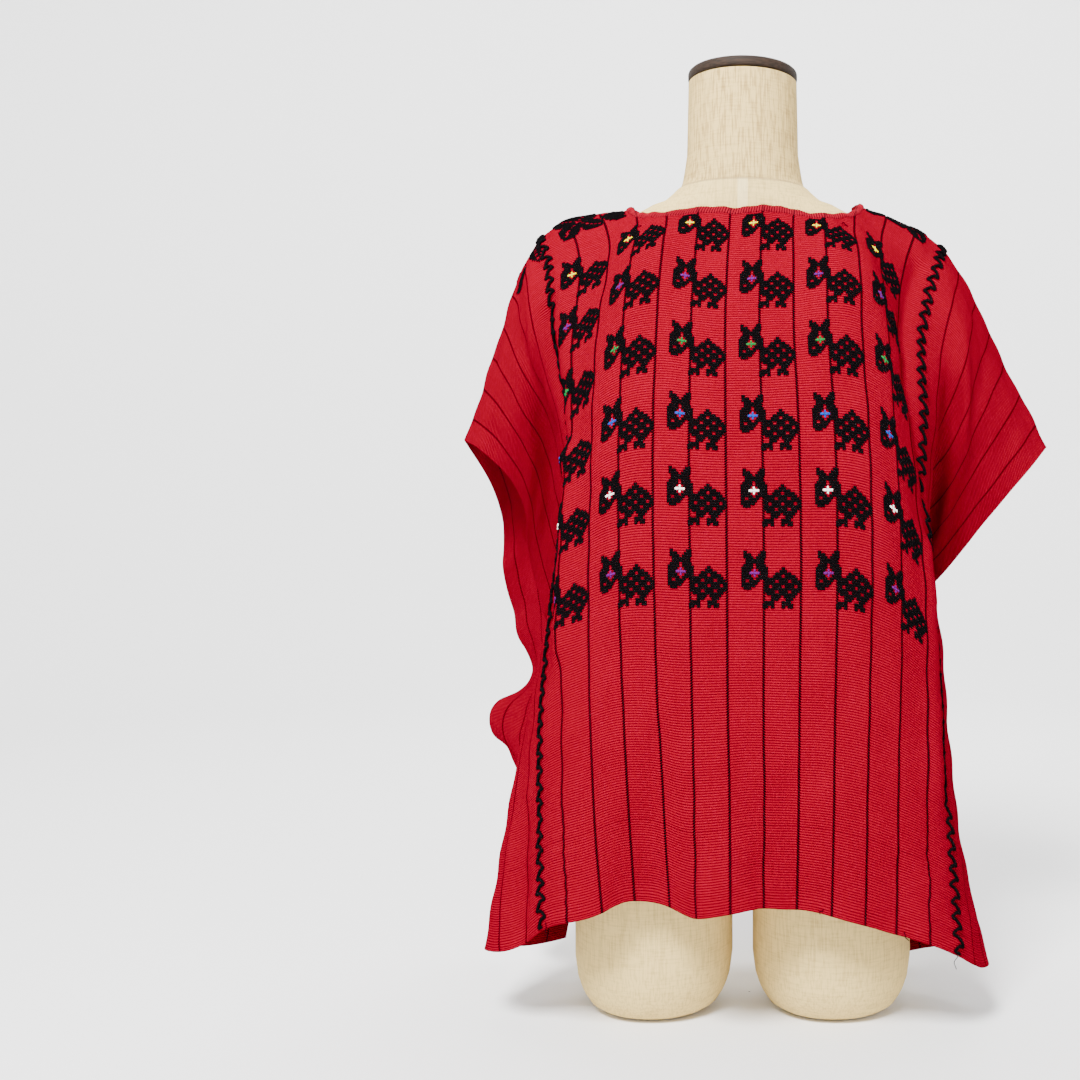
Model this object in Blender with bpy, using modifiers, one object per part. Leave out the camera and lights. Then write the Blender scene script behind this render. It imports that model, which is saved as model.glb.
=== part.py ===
"""A three-panel backstrap-woven huipil worn by a limbless, linen-covered dress form.

Metres, +Z up. The wearer's left is +X, the front is -Y, and the form stands on z = 0. The
functions below work from the form's own axis; at the end the whole part is centred.
"""
import bmesh
import bpy
import numpy as np
from mathutils import Vector
from mathutils.kdtree import KDTree

# ---- driving dimensions --------------------------------------------------------------------
STRIPE_PITCH = 0.034               # from one black warp stripe to the next
CENTER_HALF = 6.5 * STRIPE_PITCH   # half the width of the centre panel, 13 pitches wide
SIDE_WIDTH = 0.225                 # one side panel, seam to selvedge
DROP = 0.73                        # from the shoulder fold down to either hem
WALL = 0.0015                      # thickness of the woven cloth
SEAM_GAP = 0.0004                  # open joint between two panels at a randa seam
NECK_HALF_WIDTH = 0.119            # neck opening measured on the flat cloth
NECK_HALF_DEPTH = 0.072
NECK_CORNER = 0.042
BINDING_DEPTH = 0.008              # edging worked over the cut neck edge
BINDING_WALL = 0.0028
CLEARANCE = 0.0030                 # middle of the cloth to the form under it

NECK_TOP = 0.914
CAP_GAP = 0.0015
CAP_RADIUS = 0.0545
CAP_HEIGHT = 0.010
THIGH_OFFSET = 0.088               # centre of a thigh stump from the middle
THIGH_TOP = 0.230                  # where a stump ends inside the torso
FORM_SIDES = 32

YOKE_DOWN = 0.170                  # the rings round the neck end here, and straight rows begin
YOKE_CELLS_ALONG = 16
NECK_RINGS = 6
CENTER_CELLS = 16
SIDE_CELLS = 12
ROWS_BELOW_YOKE = 19

# ---- the form, a row for each level --------------------------------------------------------
FORM_COLUMNS = ("z", "half_width", "front", "back", "squareness")
TORSO_ROWS = (
    (0.130, 0.150, 0.086, 0.094, 2.6),     # under the crotch
    (0.150, 0.162, 0.096, 0.108, 2.6),
    (0.220, 0.168, 0.100, 0.120, 2.4),     # hips
    (0.300, 0.153, 0.098, 0.104, 2.3),
    (0.360, 0.132, 0.093, 0.084, 2.2),
    (0.420, 0.117, 0.090, 0.074, 2.2),     # waist
    (0.480, 0.121, 0.097, 0.080, 2.2),
    (0.535, 0.134, 0.118, 0.090, 2.2),
    (0.575, 0.142, 0.126, 0.097, 2.2),     # bust
    (0.640, 0.150, 0.104, 0.105, 2.3),
    (0.700, 0.172, 0.080, 0.098, 2.3),
    (0.735, 0.184, 0.064, 0.084, 2.3),     # shoulder tips
    (0.752, 0.178, 0.056, 0.074, 2.2),
    (0.768, 0.150, 0.053, 0.068, 2.1),
    (0.780, 0.116, 0.053, 0.064, 2.0),
    (0.792, 0.084, 0.053, 0.060, 2.0),
    (0.808, 0.061, 0.053, 0.056, 2.0),     # neck base
    (0.840, 0.0555, 0.0540, 0.0545, 2.0),
    (NECK_TOP, 0.0540, 0.0540, 0.0540, 2.0),
)
THIGH_ROWS = (
    (0.000, 0.048, 0.058, 0.058, 2.2),     # flat sole of the stump
    (0.002, 0.055, 0.065, 0.065, 2.2),
    (0.007, 0.0625, 0.0725, 0.0725, 2.2),
    (0.016, 0.070, 0.080, 0.080, 2.2),
    (0.030, 0.075, 0.085, 0.085, 2.2),
    (0.050, 0.078, 0.088, 0.088, 2.2),
    (0.130, 0.078, 0.090, 0.092, 2.2),
    (THIGH_TOP, 0.070, 0.084, 0.086, 2.2),
)

# ---- the drape -----------------------------------------------------------------------------
# Guide warps, by how far across the cloth each lies from the middle.
GUIDES = {"mid": 0.120, "seam": CENTER_HALF, "knee": 0.310, "edge": CENTER_HALF + SIDE_WIDTH}

# The shoulder fold seen from the front: how steeply it falls and how far it turns back, in
# degrees, on the wearer's right and left.
FOLD_TOP = 0.806
FOLD_COLUMNS = ("across", "right_dip", "left_dip", "right_turn", "left_turn")
FOLD_ROWS = (
    (0.000, 0, 0, 0, 0),
    (0.095, 6, 4, 0, 0),
    (0.117, 22, 22, 0, 0),
    (0.145, 22, 24, 0, 0),
    (0.155, 9, 24, 0, 0),
    (0.185, 9, 28, 0, 0),
    (0.200, 34, 32, 0, 0),
    (0.215, 42, 38, 0, 0),
    (0.240, 60, 58, 5, 0),
    (0.265, 68, 63, 15, 0),
    (0.446, 67, 64, 20, 0),
)

# Where the guide warps lie in plan at a length down from the fold: sideways distance from
# the middle, and depth forward of the shoulder line (front) or behind it (back).
DRAPE_COLUMNS = ("down", "center_y", "mid_x", "mid_y", "seam_x", "seam_y",
                 "knee_x", "knee_y", "edge_x", "edge_y")
FRONT_RIGHT = (
    (0.06, 0.055, 0.107, 0.050, 0.184, 0.045, 0.215, 0.048, 0.254, -0.010),
    (0.12, 0.088, 0.108, 0.080, 0.174, 0.064, 0.198, 0.035, 0.210, -0.020),
    (0.19, 0.112, 0.113, 0.104, 0.166, 0.072, 0.186, 0.008, 0.218, -0.045),
    (0.26, 0.130, 0.118, 0.122, 0.164, 0.070, 0.178, -0.010, 0.206, -0.070),
    (0.33, 0.139, 0.120, 0.129, 0.172, 0.072, 0.176, -0.010, 0.190, -0.070),
    (0.41, 0.143, 0.118, 0.132, 0.180, 0.078, 0.188, 0.004, 0.160, -0.060),
    (0.50, 0.144, 0.114, 0.133, 0.188, 0.090, 0.208, 0.018, 0.160, -0.040),
    (0.61, 0.143, 0.109, 0.133, 0.182, 0.104, 0.230, 0.040, 0.170, -0.045),
    (0.73, 0.141, 0.101, 0.132, 0.166, 0.118, 0.248, 0.070, 0.180, -0.030),
)
FRONT_LEFT = (
    (0.06, 0.055, 0.107, 0.050, 0.186, 0.045, 0.228, 0.050, 0.285, 0.030),
    (0.12, 0.088, 0.108, 0.080, 0.174, 0.064, 0.205, 0.055, 0.234, 0.026),
    (0.19, 0.112, 0.114, 0.104, 0.166, 0.072, 0.184, 0.040, 0.190, 0.000),
    (0.26, 0.130, 0.121, 0.122, 0.168, 0.077, 0.176, 0.010, 0.176, -0.040),
    (0.33, 0.139, 0.124, 0.129, 0.177, 0.080, 0.176, 0.000, 0.172, -0.060),
    (0.41, 0.143, 0.124, 0.132, 0.188, 0.084, 0.184, 0.000, 0.166, -0.060),
    (0.50, 0.144, 0.120, 0.133, 0.190, 0.090, 0.190, 0.006, 0.170, -0.050),
    (0.61, 0.143, 0.114, 0.133, 0.194, 0.102, 0.208, 0.020, 0.172, -0.050),
    (0.73, 0.141, 0.108, 0.131, 0.196, 0.120, 0.236, 0.046, 0.175, -0.040),
)
BACK_RIGHT = (
    (0.06, 0.057, 0.109, 0.053, 0.190, 0.050, 0.230, 0.062, 0.268, 0.100),
    (0.12, 0.091, 0.110, 0.086, 0.183, 0.078, 0.220, 0.092, 0.246, 0.125),
    (0.19, 0.110, 0.112, 0.108, 0.175, 0.100, 0.202, 0.096, 0.240, 0.112),
    (0.26, 0.118, 0.113, 0.121, 0.168, 0.114, 0.190, 0.100, 0.236, 0.126),
    (0.33, 0.120, 0.113, 0.124, 0.165, 0.118, 0.184, 0.096, 0.226, 0.122),
    (0.41, 0.121, 0.112, 0.125, 0.164, 0.120, 0.181, 0.090, 0.220, 0.110),
    (0.50, 0.124, 0.110, 0.127, 0.167, 0.124, 0.187, 0.080, 0.262, 0.135),
    (0.61, 0.130, 0.107, 0.133, 0.172, 0.130, 0.194, 0.074, 0.250, 0.162),
    (0.73, 0.138, 0.101, 0.139, 0.176, 0.135, 0.198, 0.078, 0.232, 0.158),
)
BACK_LEFT = (
    (0.06, 0.057, 0.109, 0.053, 0.192, 0.050, 0.238, 0.055, 0.292, 0.052),
    (0.12, 0.091, 0.110, 0.086, 0.183, 0.078, 0.218, 0.095, 0.248, 0.075),
    (0.19, 0.110, 0.112, 0.108, 0.174, 0.100, 0.202, 0.125, 0.212, 0.072),
    (0.26, 0.118, 0.113, 0.121, 0.168, 0.114, 0.196, 0.150, 0.192, 0.070),
    (0.33, 0.120, 0.113, 0.124, 0.165, 0.120, 0.192, 0.166, 0.184, 0.070),
    (0.41, 0.121, 0.112, 0.125, 0.165, 0.124, 0.192, 0.174, 0.182, 0.070),
    (0.50, 0.124, 0.110, 0.127, 0.168, 0.128, 0.194, 0.178, 0.184, 0.070),
    (0.61, 0.130, 0.107, 0.133, 0.172, 0.132, 0.198, 0.182, 0.188, 0.070),
    (0.73, 0.138, 0.101, 0.139, 0.176, 0.137, 0.202, 0.188, 0.190, 0.075),
)

# Soft vertical folds of the centre panel, growing to their full depth at the hem.
FOLD_WAVE_COLUMNS = ("half", "across", "width", "depth", "from_down")
FOLD_WAVES = (
    (-1, -0.196, 0.026, 0.008, 0.36),
    (-1, -0.092, 0.024, -0.014, 0.34),
    (-1, -0.030, 0.026, 0.009, 0.40),
    (-1, 0.040, 0.024, -0.008, 0.42),
    (-1, 0.098, 0.026, 0.009, 0.38),
    (-1, 0.152, 0.022, -0.011, 0.34),
    (1, -0.120, 0.028, 0.010, 0.36),
    (1, -0.055, 0.026, -0.010, 0.40),
    (1, 0.010, 0.028, 0.010, 0.38),
    (1, 0.075, 0.026, -0.010, 0.42),
    (1, 0.140, 0.028, 0.009, 0.36),
)

# The neck binding draws the cloth in: how much at the fold and below it, and how far down
# that dies out.
FOLD_GATHER = 0.08
GATHER = 0.13
GATHER_REACH = 0.10

# The warps beyond the seam are woven tighter, so a side panel's hem does not dip.
EDGE_TAKE_UP = 0.16

# Where binding, seams and selvedges draw the warps up: front (-1), back (1) or both (0), middle
# and reach across, start and end down from the fold, and the share of length taken, below 0
# where the web is slack.
TAKE_UPS = (
    (0, -0.110, 0.045, 0.00, 0.08, 0.10),
    (0, -0.150, 0.060, 0.08, 0.24, 0.06),
    (0, -0.200, 0.050, 0.10, 0.43, 0.07),
    (0, -0.221, 0.045, 0.43, 0.73, 0.05),
    (-1, -0.070, 0.035, 0.30, 0.73, -0.035),
    (0, 0.110, 0.045, 0.00, 0.08, 0.10),
    (0, 0.150, 0.060, 0.08, 0.24, 0.03),
    (0, 0.190, 0.045, 0.10, 0.43, 0.03),
    (0, 0.221, 0.045, 0.43, 0.73, 0.05),
    (-1, 0.120, 0.050, 0.43, 0.73, -0.050),
    (-1, 0.050, 0.060, 0.30, 0.43, -0.035),
    (1, -0.446, 0.130, 0.10, 0.73, 0.12),
    (1, 0.446, 0.130, 0.10, 0.73, 0.10),
)

# How finely the drape is worked out, and how long its threads are evened.
THREADS_ACROSS = 65
THREADS_DOWN = 97
EVENING_PASSES = 260
EVENING_SHARE = 0.36          # how much of each correction one pass makes
LAYER_GAP = 0.009             # two layers of cloth stay this far apart
LAYER_PASSES = 50             # the last passes, in which they are parted
FOLD_CHORD = 0.93             # how far two or four threads apart may close up in a fold
IRONING = 0.05                # how strongly small creases are smoothed


def columns(names, rows):
    """A table's columns as arrays, by name."""
    return dict(zip(names, np.array(rows, dtype=float).T))


def spline(at, knots, values):
    """Natural cubic spline through values (knots first), read at `at`."""
    knots = np.asarray(knots, dtype=float)
    values = np.asarray(values, dtype=float)
    step = np.diff(knots)
    count = len(knots)
    matrix = np.eye(count)
    slope = np.zeros_like(values)
    rise = np.diff(values, axis=0) / step.reshape((-1,) + (1,) * (values.ndim - 1))
    for i in range(1, count - 1):
        matrix[i, i - 1:i + 2] = step[i - 1], 2 * (step[i - 1] + step[i]), step[i]
        slope[i] = 6 * (rise[i] - rise[i - 1])
    bend = np.linalg.solve(matrix, slope.reshape(count, -1)).reshape(values.shape)
    at = np.asarray(at, dtype=float)
    left = np.clip(np.searchsorted(knots, at) - 1, 0, count - 2)
    tail = (1,) * (values.ndim - 1)
    h = step[left].reshape((-1,) + tail)
    a = ((knots[left + 1] - at) / step[left]).reshape((-1,) + tail)
    b = 1 - a
    return (a * values[left] + b * values[left + 1]
            + ((a ** 3 - a) * bend[left] + (b ** 3 - b) * bend[left + 1]) * h * h / 6)


# ---- the form's surface --------------------------------------------------------------------
def outside(points, rows, middle_x=0.0):
    """Below 0 inside the form's surface, 0 on it and above 0 outside, in units of its radius."""
    form = columns(FORM_COLUMNS, rows)
    x, y, z = points[..., 0] - middle_x, points[..., 1], points[..., 2]
    width = np.interp(z, form["z"], form["half_width"]) + CLEARANCE
    depth = np.where(y < 0, np.interp(z, form["z"], form["front"]),
                     np.interp(z, form["z"], form["back"])) + CLEARANCE
    power = np.interp(z, form["z"], form["squareness"])
    radius = (np.abs(x / width) ** power + np.abs(y / depth) ** power) ** (1 / power)
    above = (z - form["z"][-1]) / CLEARANCE
    return np.maximum(radius - 1, above)


def push_out(points, rows, middle_x=0.0):
    """Points inside the form move out along its surface's own direction."""
    nudge = 1e-4
    here = outside(points, rows, middle_x)
    lean = np.stack([(outside(points + nudge * axis, rows, middle_x) - here) / nudge
                     for axis in np.eye(3)], axis=-1)
    size = np.maximum((lean ** 2).sum(axis=-1), 1.0)
    move = np.clip(-here, 0, None) / size
    return points + move[..., None] * lean


# ---- the draped cloth ----------------------------------------------------------------------
def fold_line(across, hand):
    """Sideways distance, distance back and height of the shoulder fold on one side."""
    fold = columns(FOLD_COLUMNS, FOLD_ROWS)
    fine = np.linspace(0, GUIDES["edge"], 600)
    dip = np.radians(np.interp(fine, fold["across"], fold[hand + "_dip"]))[1:]
    turn = np.radians(np.interp(fine, fold["across"], fold[hand + "_turn"]))[1:]
    step = np.diff(fine) * np.where(fine[1:] < NECK_HALF_WIDTH, 1 - FOLD_GATHER, 1)
    moves = (np.cos(turn) * np.cos(dip), np.sin(turn), -np.cos(turn) * np.sin(dip))
    line = [np.concatenate([[0], np.cumsum(move * step)]) for move in moves]
    line[2] += FOLD_TOP
    return [np.interp(across, fine, values) for values in line]


def warp_length(across, along):
    """How long each bit of a warp is, as a share of one in the centre panel, by rows."""
    beyond = (np.abs(across) - CENTER_HALF) / SIDE_WIDTH
    length = 1 - EDGE_TAKE_UP * np.clip(beyond, 0, 1) + np.zeros((len(along), 1))
    for half, at, width, start, end, share in TAKE_UPS:
        near = np.exp(-((across - at) / width) ** 2)
        rows = (np.abs(along) > start) & (np.abs(along) <= end) & (half * along >= 0)
        length = length - share * np.outer(rows, near)
    return length


def at_fold(reach, hand, toward):
    """The drape table's first row, on the shoulder fold itself."""
    row = [0.0, 0.0]
    sideways, back, _ = fold_line(reach, hand)
    for x, y in zip(sideways, back):
        row += [x, toward * y]
    return tuple(row)


def hang(across, down, right_rows, left_rows, toward):
    """The front (toward -1) or back (toward 1) half of the cloth, threads by rows."""
    outer = ["mid", "seam", "knee", "edge"]
    reach = np.array([GUIDES[n] for n in outer])
    right = columns(DRAPE_COLUMNS, (at_fold(reach, "right", toward),) + right_rows)
    left = columns(DRAPE_COLUMNS, (at_fold(reach, "left", toward),) + left_rows)
    stations = np.concatenate([-reach[::-1], [0], reach])
    plan_x = [-right[n + "_x"] for n in reversed(outer)] + [0 * left["down"]]
    plan_x += [left[n + "_x"] for n in outer]
    plan_y = [right[n + "_y"] for n in reversed(outer)] + [left["center_y"]]
    plan_y += [left[n + "_y"] for n in outer]
    plan = np.stack([np.array(plan_x).T, toward * np.array(plan_y).T], axis=-1)
    by_row = np.stack([spline(down, right["down"], plan[:, :, k]) for k in (0, 1)], axis=-1)
    by_thread = spline(across, stations, by_row.transpose(1, 0, 2)).transpose(1, 0, 2)
    waves = columns(FOLD_WAVE_COLUMNS, FOLD_WAVES)
    for k in np.flatnonzero(waves["half"] == toward):
        grown = np.clip((down - waves["from_down"][k]) / (DROP - waves["from_down"][k]), 0, 1)
        bump = np.exp(-((across - waves["across"][k]) / waves["width"][k]) ** 2)
        by_thread[:, :, 1] += toward * waves["depth"][k] * np.outer(grown ** 1.5, bump)
    moved = (np.diff(by_thread, axis=0) ** 2).sum(axis=-1)
    step = np.diff(down)[:, None] * warp_length(across, toward * down[1:])
    fall = np.sqrt(np.maximum(step ** 2 - moved, (0.25 * step) ** 2))
    top = np.where(across < 0, fold_line(-across, "right")[2], fold_line(across, "left")[2])
    height = top - np.concatenate([np.zeros((1, len(across))), np.cumsum(fall, axis=0)])
    return np.concatenate([by_thread, height[..., None]], axis=-1)


def part_layers(points, across, down):
    """Pushes layers of cloth that come close to each other apart."""
    flat = np.stack(np.meshgrid(across, down), axis=-1).reshape(-1, 2)
    solid = points.reshape(-1, 3)
    tree = KDTree(len(solid))
    for i, place in enumerate(solid):
        tree.insert(place, i)
    tree.balance()
    moved = np.zeros_like(solid)
    for i in np.flatnonzero(np.abs(flat[:, 0]) > CENTER_HALF):
        for other, k, distance in tree.find_range(solid[i], LAYER_GAP):
            if np.abs(flat[i] - flat[k]).sum() > 6 * LAYER_GAP:
                moved[i] += 0.5 * (LAYER_GAP - distance) * (solid[i] - solid[k]) / distance
    return points + moved.reshape(points.shape)


def even_threads(points, across, down, held):
    """Brings neighbours on each thread back to their woven spacing and irons small creases."""
    near_neck = np.exp(-(down / GATHER_REACH) ** 2)
    middle = np.abs((across[1:] + across[:-1]) / 2) < NECK_HALF_WIDTH
    drawn_in = 1 - GATHER * np.outer(near_neck, middle)
    farther = np.where(down[1:] > 0, down[1:], down[:-1])
    spacing = (np.diff(down)[:, None] * warp_length(across, farther),
               (np.diff(across)[None, :] * drawn_in).T)
    for turn in range(EVENING_PASSES):
        moved = np.zeros_like(points)
        for net, change, rest in ((points, moved, spacing[0]),
                                  (points.swapaxes(0, 1), moved.swapaxes(0, 1), spacing[1])):
            for reach in (1, 2, 4):
                between = net[reach:] - net[:-reach]
                length = np.sqrt((between ** 2).sum(axis=-1))
                off = length - reach * rest[:len(length)]
                if reach > 1:
                    off = np.minimum(length - FOLD_CHORD * reach * rest[:len(length)], 0)
                pull = (0.5 * off / np.maximum(length, 1e-6))[..., None] * between
                change[:-reach] += pull
                change[reach:] -= pull
            change[1:-1] += IRONING * (net[2:] - 2 * net[1:-1] + net[:-2])
        points = points + EVENING_SHARE * moved * (1 - held)[..., None]
        points = push_out(points, TORSO_ROWS)
        for side in (-1, 1):
            points = push_out(points, THIGH_ROWS, side * THIGH_OFFSET)
        if turn >= EVENING_PASSES - LAYER_PASSES:
            points = part_layers(points, across, down)
    return points


def drape():
    """The whole cloth as one net of threads, from the front hem over the fold to the back."""
    across = np.linspace(-GUIDES["edge"], GUIDES["edge"], THREADS_ACROSS)
    down = np.linspace(0, DROP, THREADS_DOWN // 2 + 1)
    front = hang(across, down, FRONT_RIGHT, FRONT_LEFT, -1)
    back = hang(across, down, BACK_RIGHT, BACK_LEFT, 1)
    net = np.concatenate([front[::-1], back[1:]])
    along = np.concatenate([-down[::-1], down[1:]])
    held = np.zeros(net.shape[:2])
    fold_row = len(down) - 1
    held[fold_row] = 1
    net = even_threads(net, across, along, held)
    return across, along, net


ACROSS, ALONG, NET = drape()


def on_cloth(across, along):
    """Points of the middle of the cloth at flat places, read smoothly between the threads."""
    u = (np.asarray(across) - ACROSS[0]) / (ACROSS[1] - ACROSS[0])
    v = (np.asarray(along) - ALONG[0]) / (ALONG[1] - ALONG[0])
    i = np.clip(np.floor(u).astype(int), 0, len(ACROSS) - 2)
    j = np.clip(np.floor(v).astype(int), 0, len(ALONG) - 2)

    def weights(t):
        return (-0.5 * t + t ** 2 - 0.5 * t ** 3, 1 - 2.5 * t ** 2 + 1.5 * t ** 3,
                0.5 * t + 2 * t ** 2 - 1.5 * t ** 3, -0.5 * t ** 2 + 0.5 * t ** 3)

    total = 0
    for b, row_weight in enumerate(weights(v - j)):
        for a, weight in enumerate(weights(u - i)):
            column = np.clip(i + a - 1, 0, len(ACROSS) - 1)
            row = np.clip(j + b - 1, 0, len(ALONG) - 1)
            total = total + (row_weight * weight)[..., None] * NET[row, column]
    return total


def cloth_normal(across, along):
    """Which way the cloth faces, outward from the form, at flat places."""
    step = 0.004
    weft = on_cloth(across + step, along) - on_cloth(across - step, along)
    warp = on_cloth(across, along + step) - on_cloth(across, along - step)
    normal = np.cross(weft, warp)
    return normal / np.linalg.norm(normal, axis=-1, keepdims=True)


def rounded_neck(margin, count_across, count_along):
    """The neck outline `margin` outside the bare opening, a point for each frame point."""
    width = NECK_HALF_WIDTH + margin
    depth = NECK_HALF_DEPTH + margin
    corner = NECK_CORNER + margin
    across, along = frame_points(width, depth, count_across, count_along)
    past_x = np.clip(np.abs(across) - (width - corner), 0, None)
    past_y = np.clip(np.abs(along) - (depth - corner), 0, None)
    size = np.hypot(past_x, past_y)
    shrink = np.where(size > corner, corner / np.maximum(size, 1e-9), 1)
    across = np.sign(across) * (np.abs(across) - past_x * (1 - shrink))
    along = np.sign(along) * (np.abs(along) - past_y * (1 - shrink))
    return across, along


def frame_points(width, depth, count_across, count_along):
    """Points round a rectangle, starting at its right front corner and going leftward."""
    along_front = np.linspace(-width, width, count_across + 1)[:-1]
    along_side = np.linspace(-depth, depth, count_along + 1)[:-1]
    across = np.concatenate([along_front, np.full(count_along, width), -along_front,
                             np.full(count_along, -width)])
    along = np.concatenate([np.full(count_across, -depth), along_side,
                            np.full(count_across, depth), -along_side])
    return across, along


# ---- building ------------------------------------------------------------------------------
for old in list(bpy.data.objects):
    bpy.data.objects.remove(old)

blouse = bpy.data.collections.new("huipil_blouse")
cutters = bpy.data.collections.new("cutters")
for group in (blouse, cutters):
    bpy.context.scene.collection.children.link(group)


def material(name, color, roughness):
    """A plain finish."""
    made = bpy.data.materials.new(name)
    made.use_nodes = True
    shader = made.node_tree.nodes["Principled BSDF"]
    shader.inputs["Base Color"].default_value = (*color, 1.0)
    shader.inputs["Roughness"].default_value = roughness
    shader.inputs["Metallic"].default_value = 0.0
    return made


def place(name, points, faces, finish, group=blouse):
    """A mesh object from its points and faces."""
    mesh = bpy.data.meshes.new(name)
    mesh.from_pydata(np.asarray(points).tolist(), [], [tuple(map(int, f)) for f in faces])
    mesh.update()
    mesh.shade_smooth()
    mesh.materials.append(finish)
    made = bpy.data.objects.new(name, mesh)
    group.objects.link(made)
    return made


def face_out(thing):
    """Turns a closed mesh's faces outward."""
    work = bmesh.new()
    work.from_mesh(thing.data)
    bmesh.ops.recalc_face_normals(work, faces=work.faces)
    work.to_mesh(thing.data)
    work.free()


def loft(name, rows, middle_x, finish, group=blouse):
    """A closed skin through the form's rings, one for each row."""
    turn = np.arange(FORM_SIDES) * 2 * np.pi / FORM_SIDES
    rings = []
    for z, width, front, back, power in rows:
        cos, sin = np.cos(turn), np.sin(turn)
        x = width * np.sign(cos) * np.abs(cos) ** (2 / power)
        y = np.where(sin < 0, front, back) * np.sign(sin) * np.abs(sin) ** (2 / power)
        rings.append(np.stack([x + middle_x, y, np.full(FORM_SIDES, z)], axis=1))
    faces = []
    for i in range(len(rows) - 1):
        for k in range(FORM_SIDES):
            after = (k + 1) % FORM_SIDES
            low, high = i * FORM_SIDES, (i + 1) * FORM_SIDES
            faces.append((low + k, low + after, high + after, high + k))
    faces.append(tuple(reversed(range(FORM_SIDES))))
    faces.append(tuple(range((len(rows) - 1) * FORM_SIDES, len(rows) * FORM_SIDES)))
    made = place(name, np.concatenate(rings), faces, finish, group)
    face_out(made)
    made.data.set_sharp_from_angle(angle=np.radians(50))
    return made


def dress_form(linen):
    """The linen-covered torso, joined with its two thigh stumps."""
    torso = loft("dress_form", TORSO_ROWS, 0.0, linen)
    for side, name in ((-1, "thigh_right"), (1, "thigh_left")):
        thigh = loft(name, THIGH_ROWS, side * THIGH_OFFSET, linen, cutters)
        thigh.hide_render = True
        thigh.display_type = "WIRE"
        join = torso.modifiers.new(name, "BOOLEAN")
        join.operation = "UNION"
        join.solver = "EXACT"
        join.object = thigh


def neck_cap(finish):
    """The dark disc that closes the neck."""
    height = NECK_TOP + CAP_GAP + CAP_HEIGHT / 2
    bpy.ops.mesh.primitive_cylinder_add(vertices=48, radius=CAP_RADIUS, depth=CAP_HEIGHT,
                                        location=(0, 0, height))
    cap = bpy.context.object
    cap.name = cap.data.name = "neck_cap"
    for group in list(cap.users_collection):
        group.objects.unlink(cap)
    blouse.objects.link(cap)
    cap.data.materials.append(finish)
    rounding = cap.modifiers.new("rounded_rim", "BEVEL")
    rounding.width = 0.002
    rounding.segments = 2


def cloth(name, across, along, faces, thickness, finish):
    """A closed wall of cloth: its outer skin, its inner skin and the rim that joins them."""
    middle = on_cloth(across, along)
    lift = 0.5 * thickness * cloth_normal(across, along)
    count = len(across)
    sides = {(start, end) for face in faces for start, end in zip(face, face[1:] + face[:1])}
    skin = [tuple(face) for face in faces]
    lining = [tuple(count + i for i in reversed(face)) for face in faces]
    rim = [(end, start, count + start, count + end) for start, end in sorted(sides)
           if (end, start) not in sides]
    made = place(name, np.concatenate([middle + lift, middle - lift]), skin + lining + rim, finish)
    face_out(made)
    made.data.set_sharp_from_angle(angle=np.radians(60))


def grid_faces(rows, count, closed=False):
    """Quads between neighbouring rows of points."""
    faces = []
    for i in range(rows - 1):
        for k in range(count if closed else count - 1):
            after = (k + 1) % count
            faces.append((i * count + k, i * count + after,
                          (i + 1) * count + after, (i + 1) * count + k))
    return faces


def panel_center(finish):
    """The centre panel: rings round the neck opening, then straight rows to each hem."""
    half = CENTER_HALF - SEAM_GAP / 2
    margin = BINDING_DEPTH + SEAM_GAP / 2
    inner = np.stack(rounded_neck(margin, CENTER_CELLS, YOKE_CELLS_ALONG))
    outer = np.stack(frame_points(half, YOKE_DOWN, CENTER_CELLS, YOKE_CELLS_ALONG))
    count = inner.shape[1]
    flat = [inner + (outer - inner) * t for t in np.linspace(0, 1, NECK_RINGS + 1)]
    faces = grid_faces(NECK_RINGS + 1, count, closed=True)
    flat = np.concatenate(flat, axis=1)
    across = np.linspace(-half, half, CENTER_CELLS + 1)
    last_ring = NECK_RINGS * count
    edges = {-1: [last_ring + k for k in range(CENTER_CELLS + 1)],
             1: [last_ring + CENTER_CELLS + YOKE_CELLS_ALONG + k for k in range(CENTER_CELLS + 1)]}
    for toward, above in edges.items():
        line = across if toward < 0 else across[::-1]
        for down in np.linspace(YOKE_DOWN, DROP, ROWS_BELOW_YOKE)[1:]:
            first = flat.shape[1]
            flat = np.concatenate([flat, np.stack([line, np.full(len(line), toward * down)])], axis=1)
            below = list(range(first, first + len(line)))
            faces += [(above[k], above[k + 1], below[k + 1], below[k]) for k in range(len(line) - 1)]
            above = below
    cloth("panel_center", flat[0], flat[1], faces, WALL, finish)


def panel_side(name, toward, finish):
    """A side panel, selvedge to seam, from the front hem over the shoulder to the back hem."""
    across = toward * np.linspace(CENTER_HALF + SEAM_GAP / 2, GUIDES["edge"], SIDE_CELLS + 1)
    yoke = np.linspace(-YOKE_DOWN, YOKE_DOWN, YOKE_CELLS_ALONG + 1)
    below = np.linspace(YOKE_DOWN, DROP, ROWS_BELOW_YOKE)[1:]
    along = np.concatenate([-below[::-1], yoke, below])
    grid = np.meshgrid(across, along)
    cloth(name, grid[0].ravel(), grid[1].ravel(), grid_faces(len(along), len(across)), WALL, finish)


def neck_binding(finish):
    """The overcast edging round the neck opening."""
    rings = [rounded_neck((BINDING_DEPTH - SEAM_GAP / 2) * t, CENTER_CELLS, YOKE_CELLS_ALONG)
             for t in (0.0, 0.5, 1.0)]
    across = np.concatenate([r[0] for r in rings])
    along = np.concatenate([r[1] for r in rings])
    cloth("neck_binding", across, along, grid_faces(len(rings), len(rings[0][0]), closed=True),
          BINDING_WALL, finish)


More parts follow.
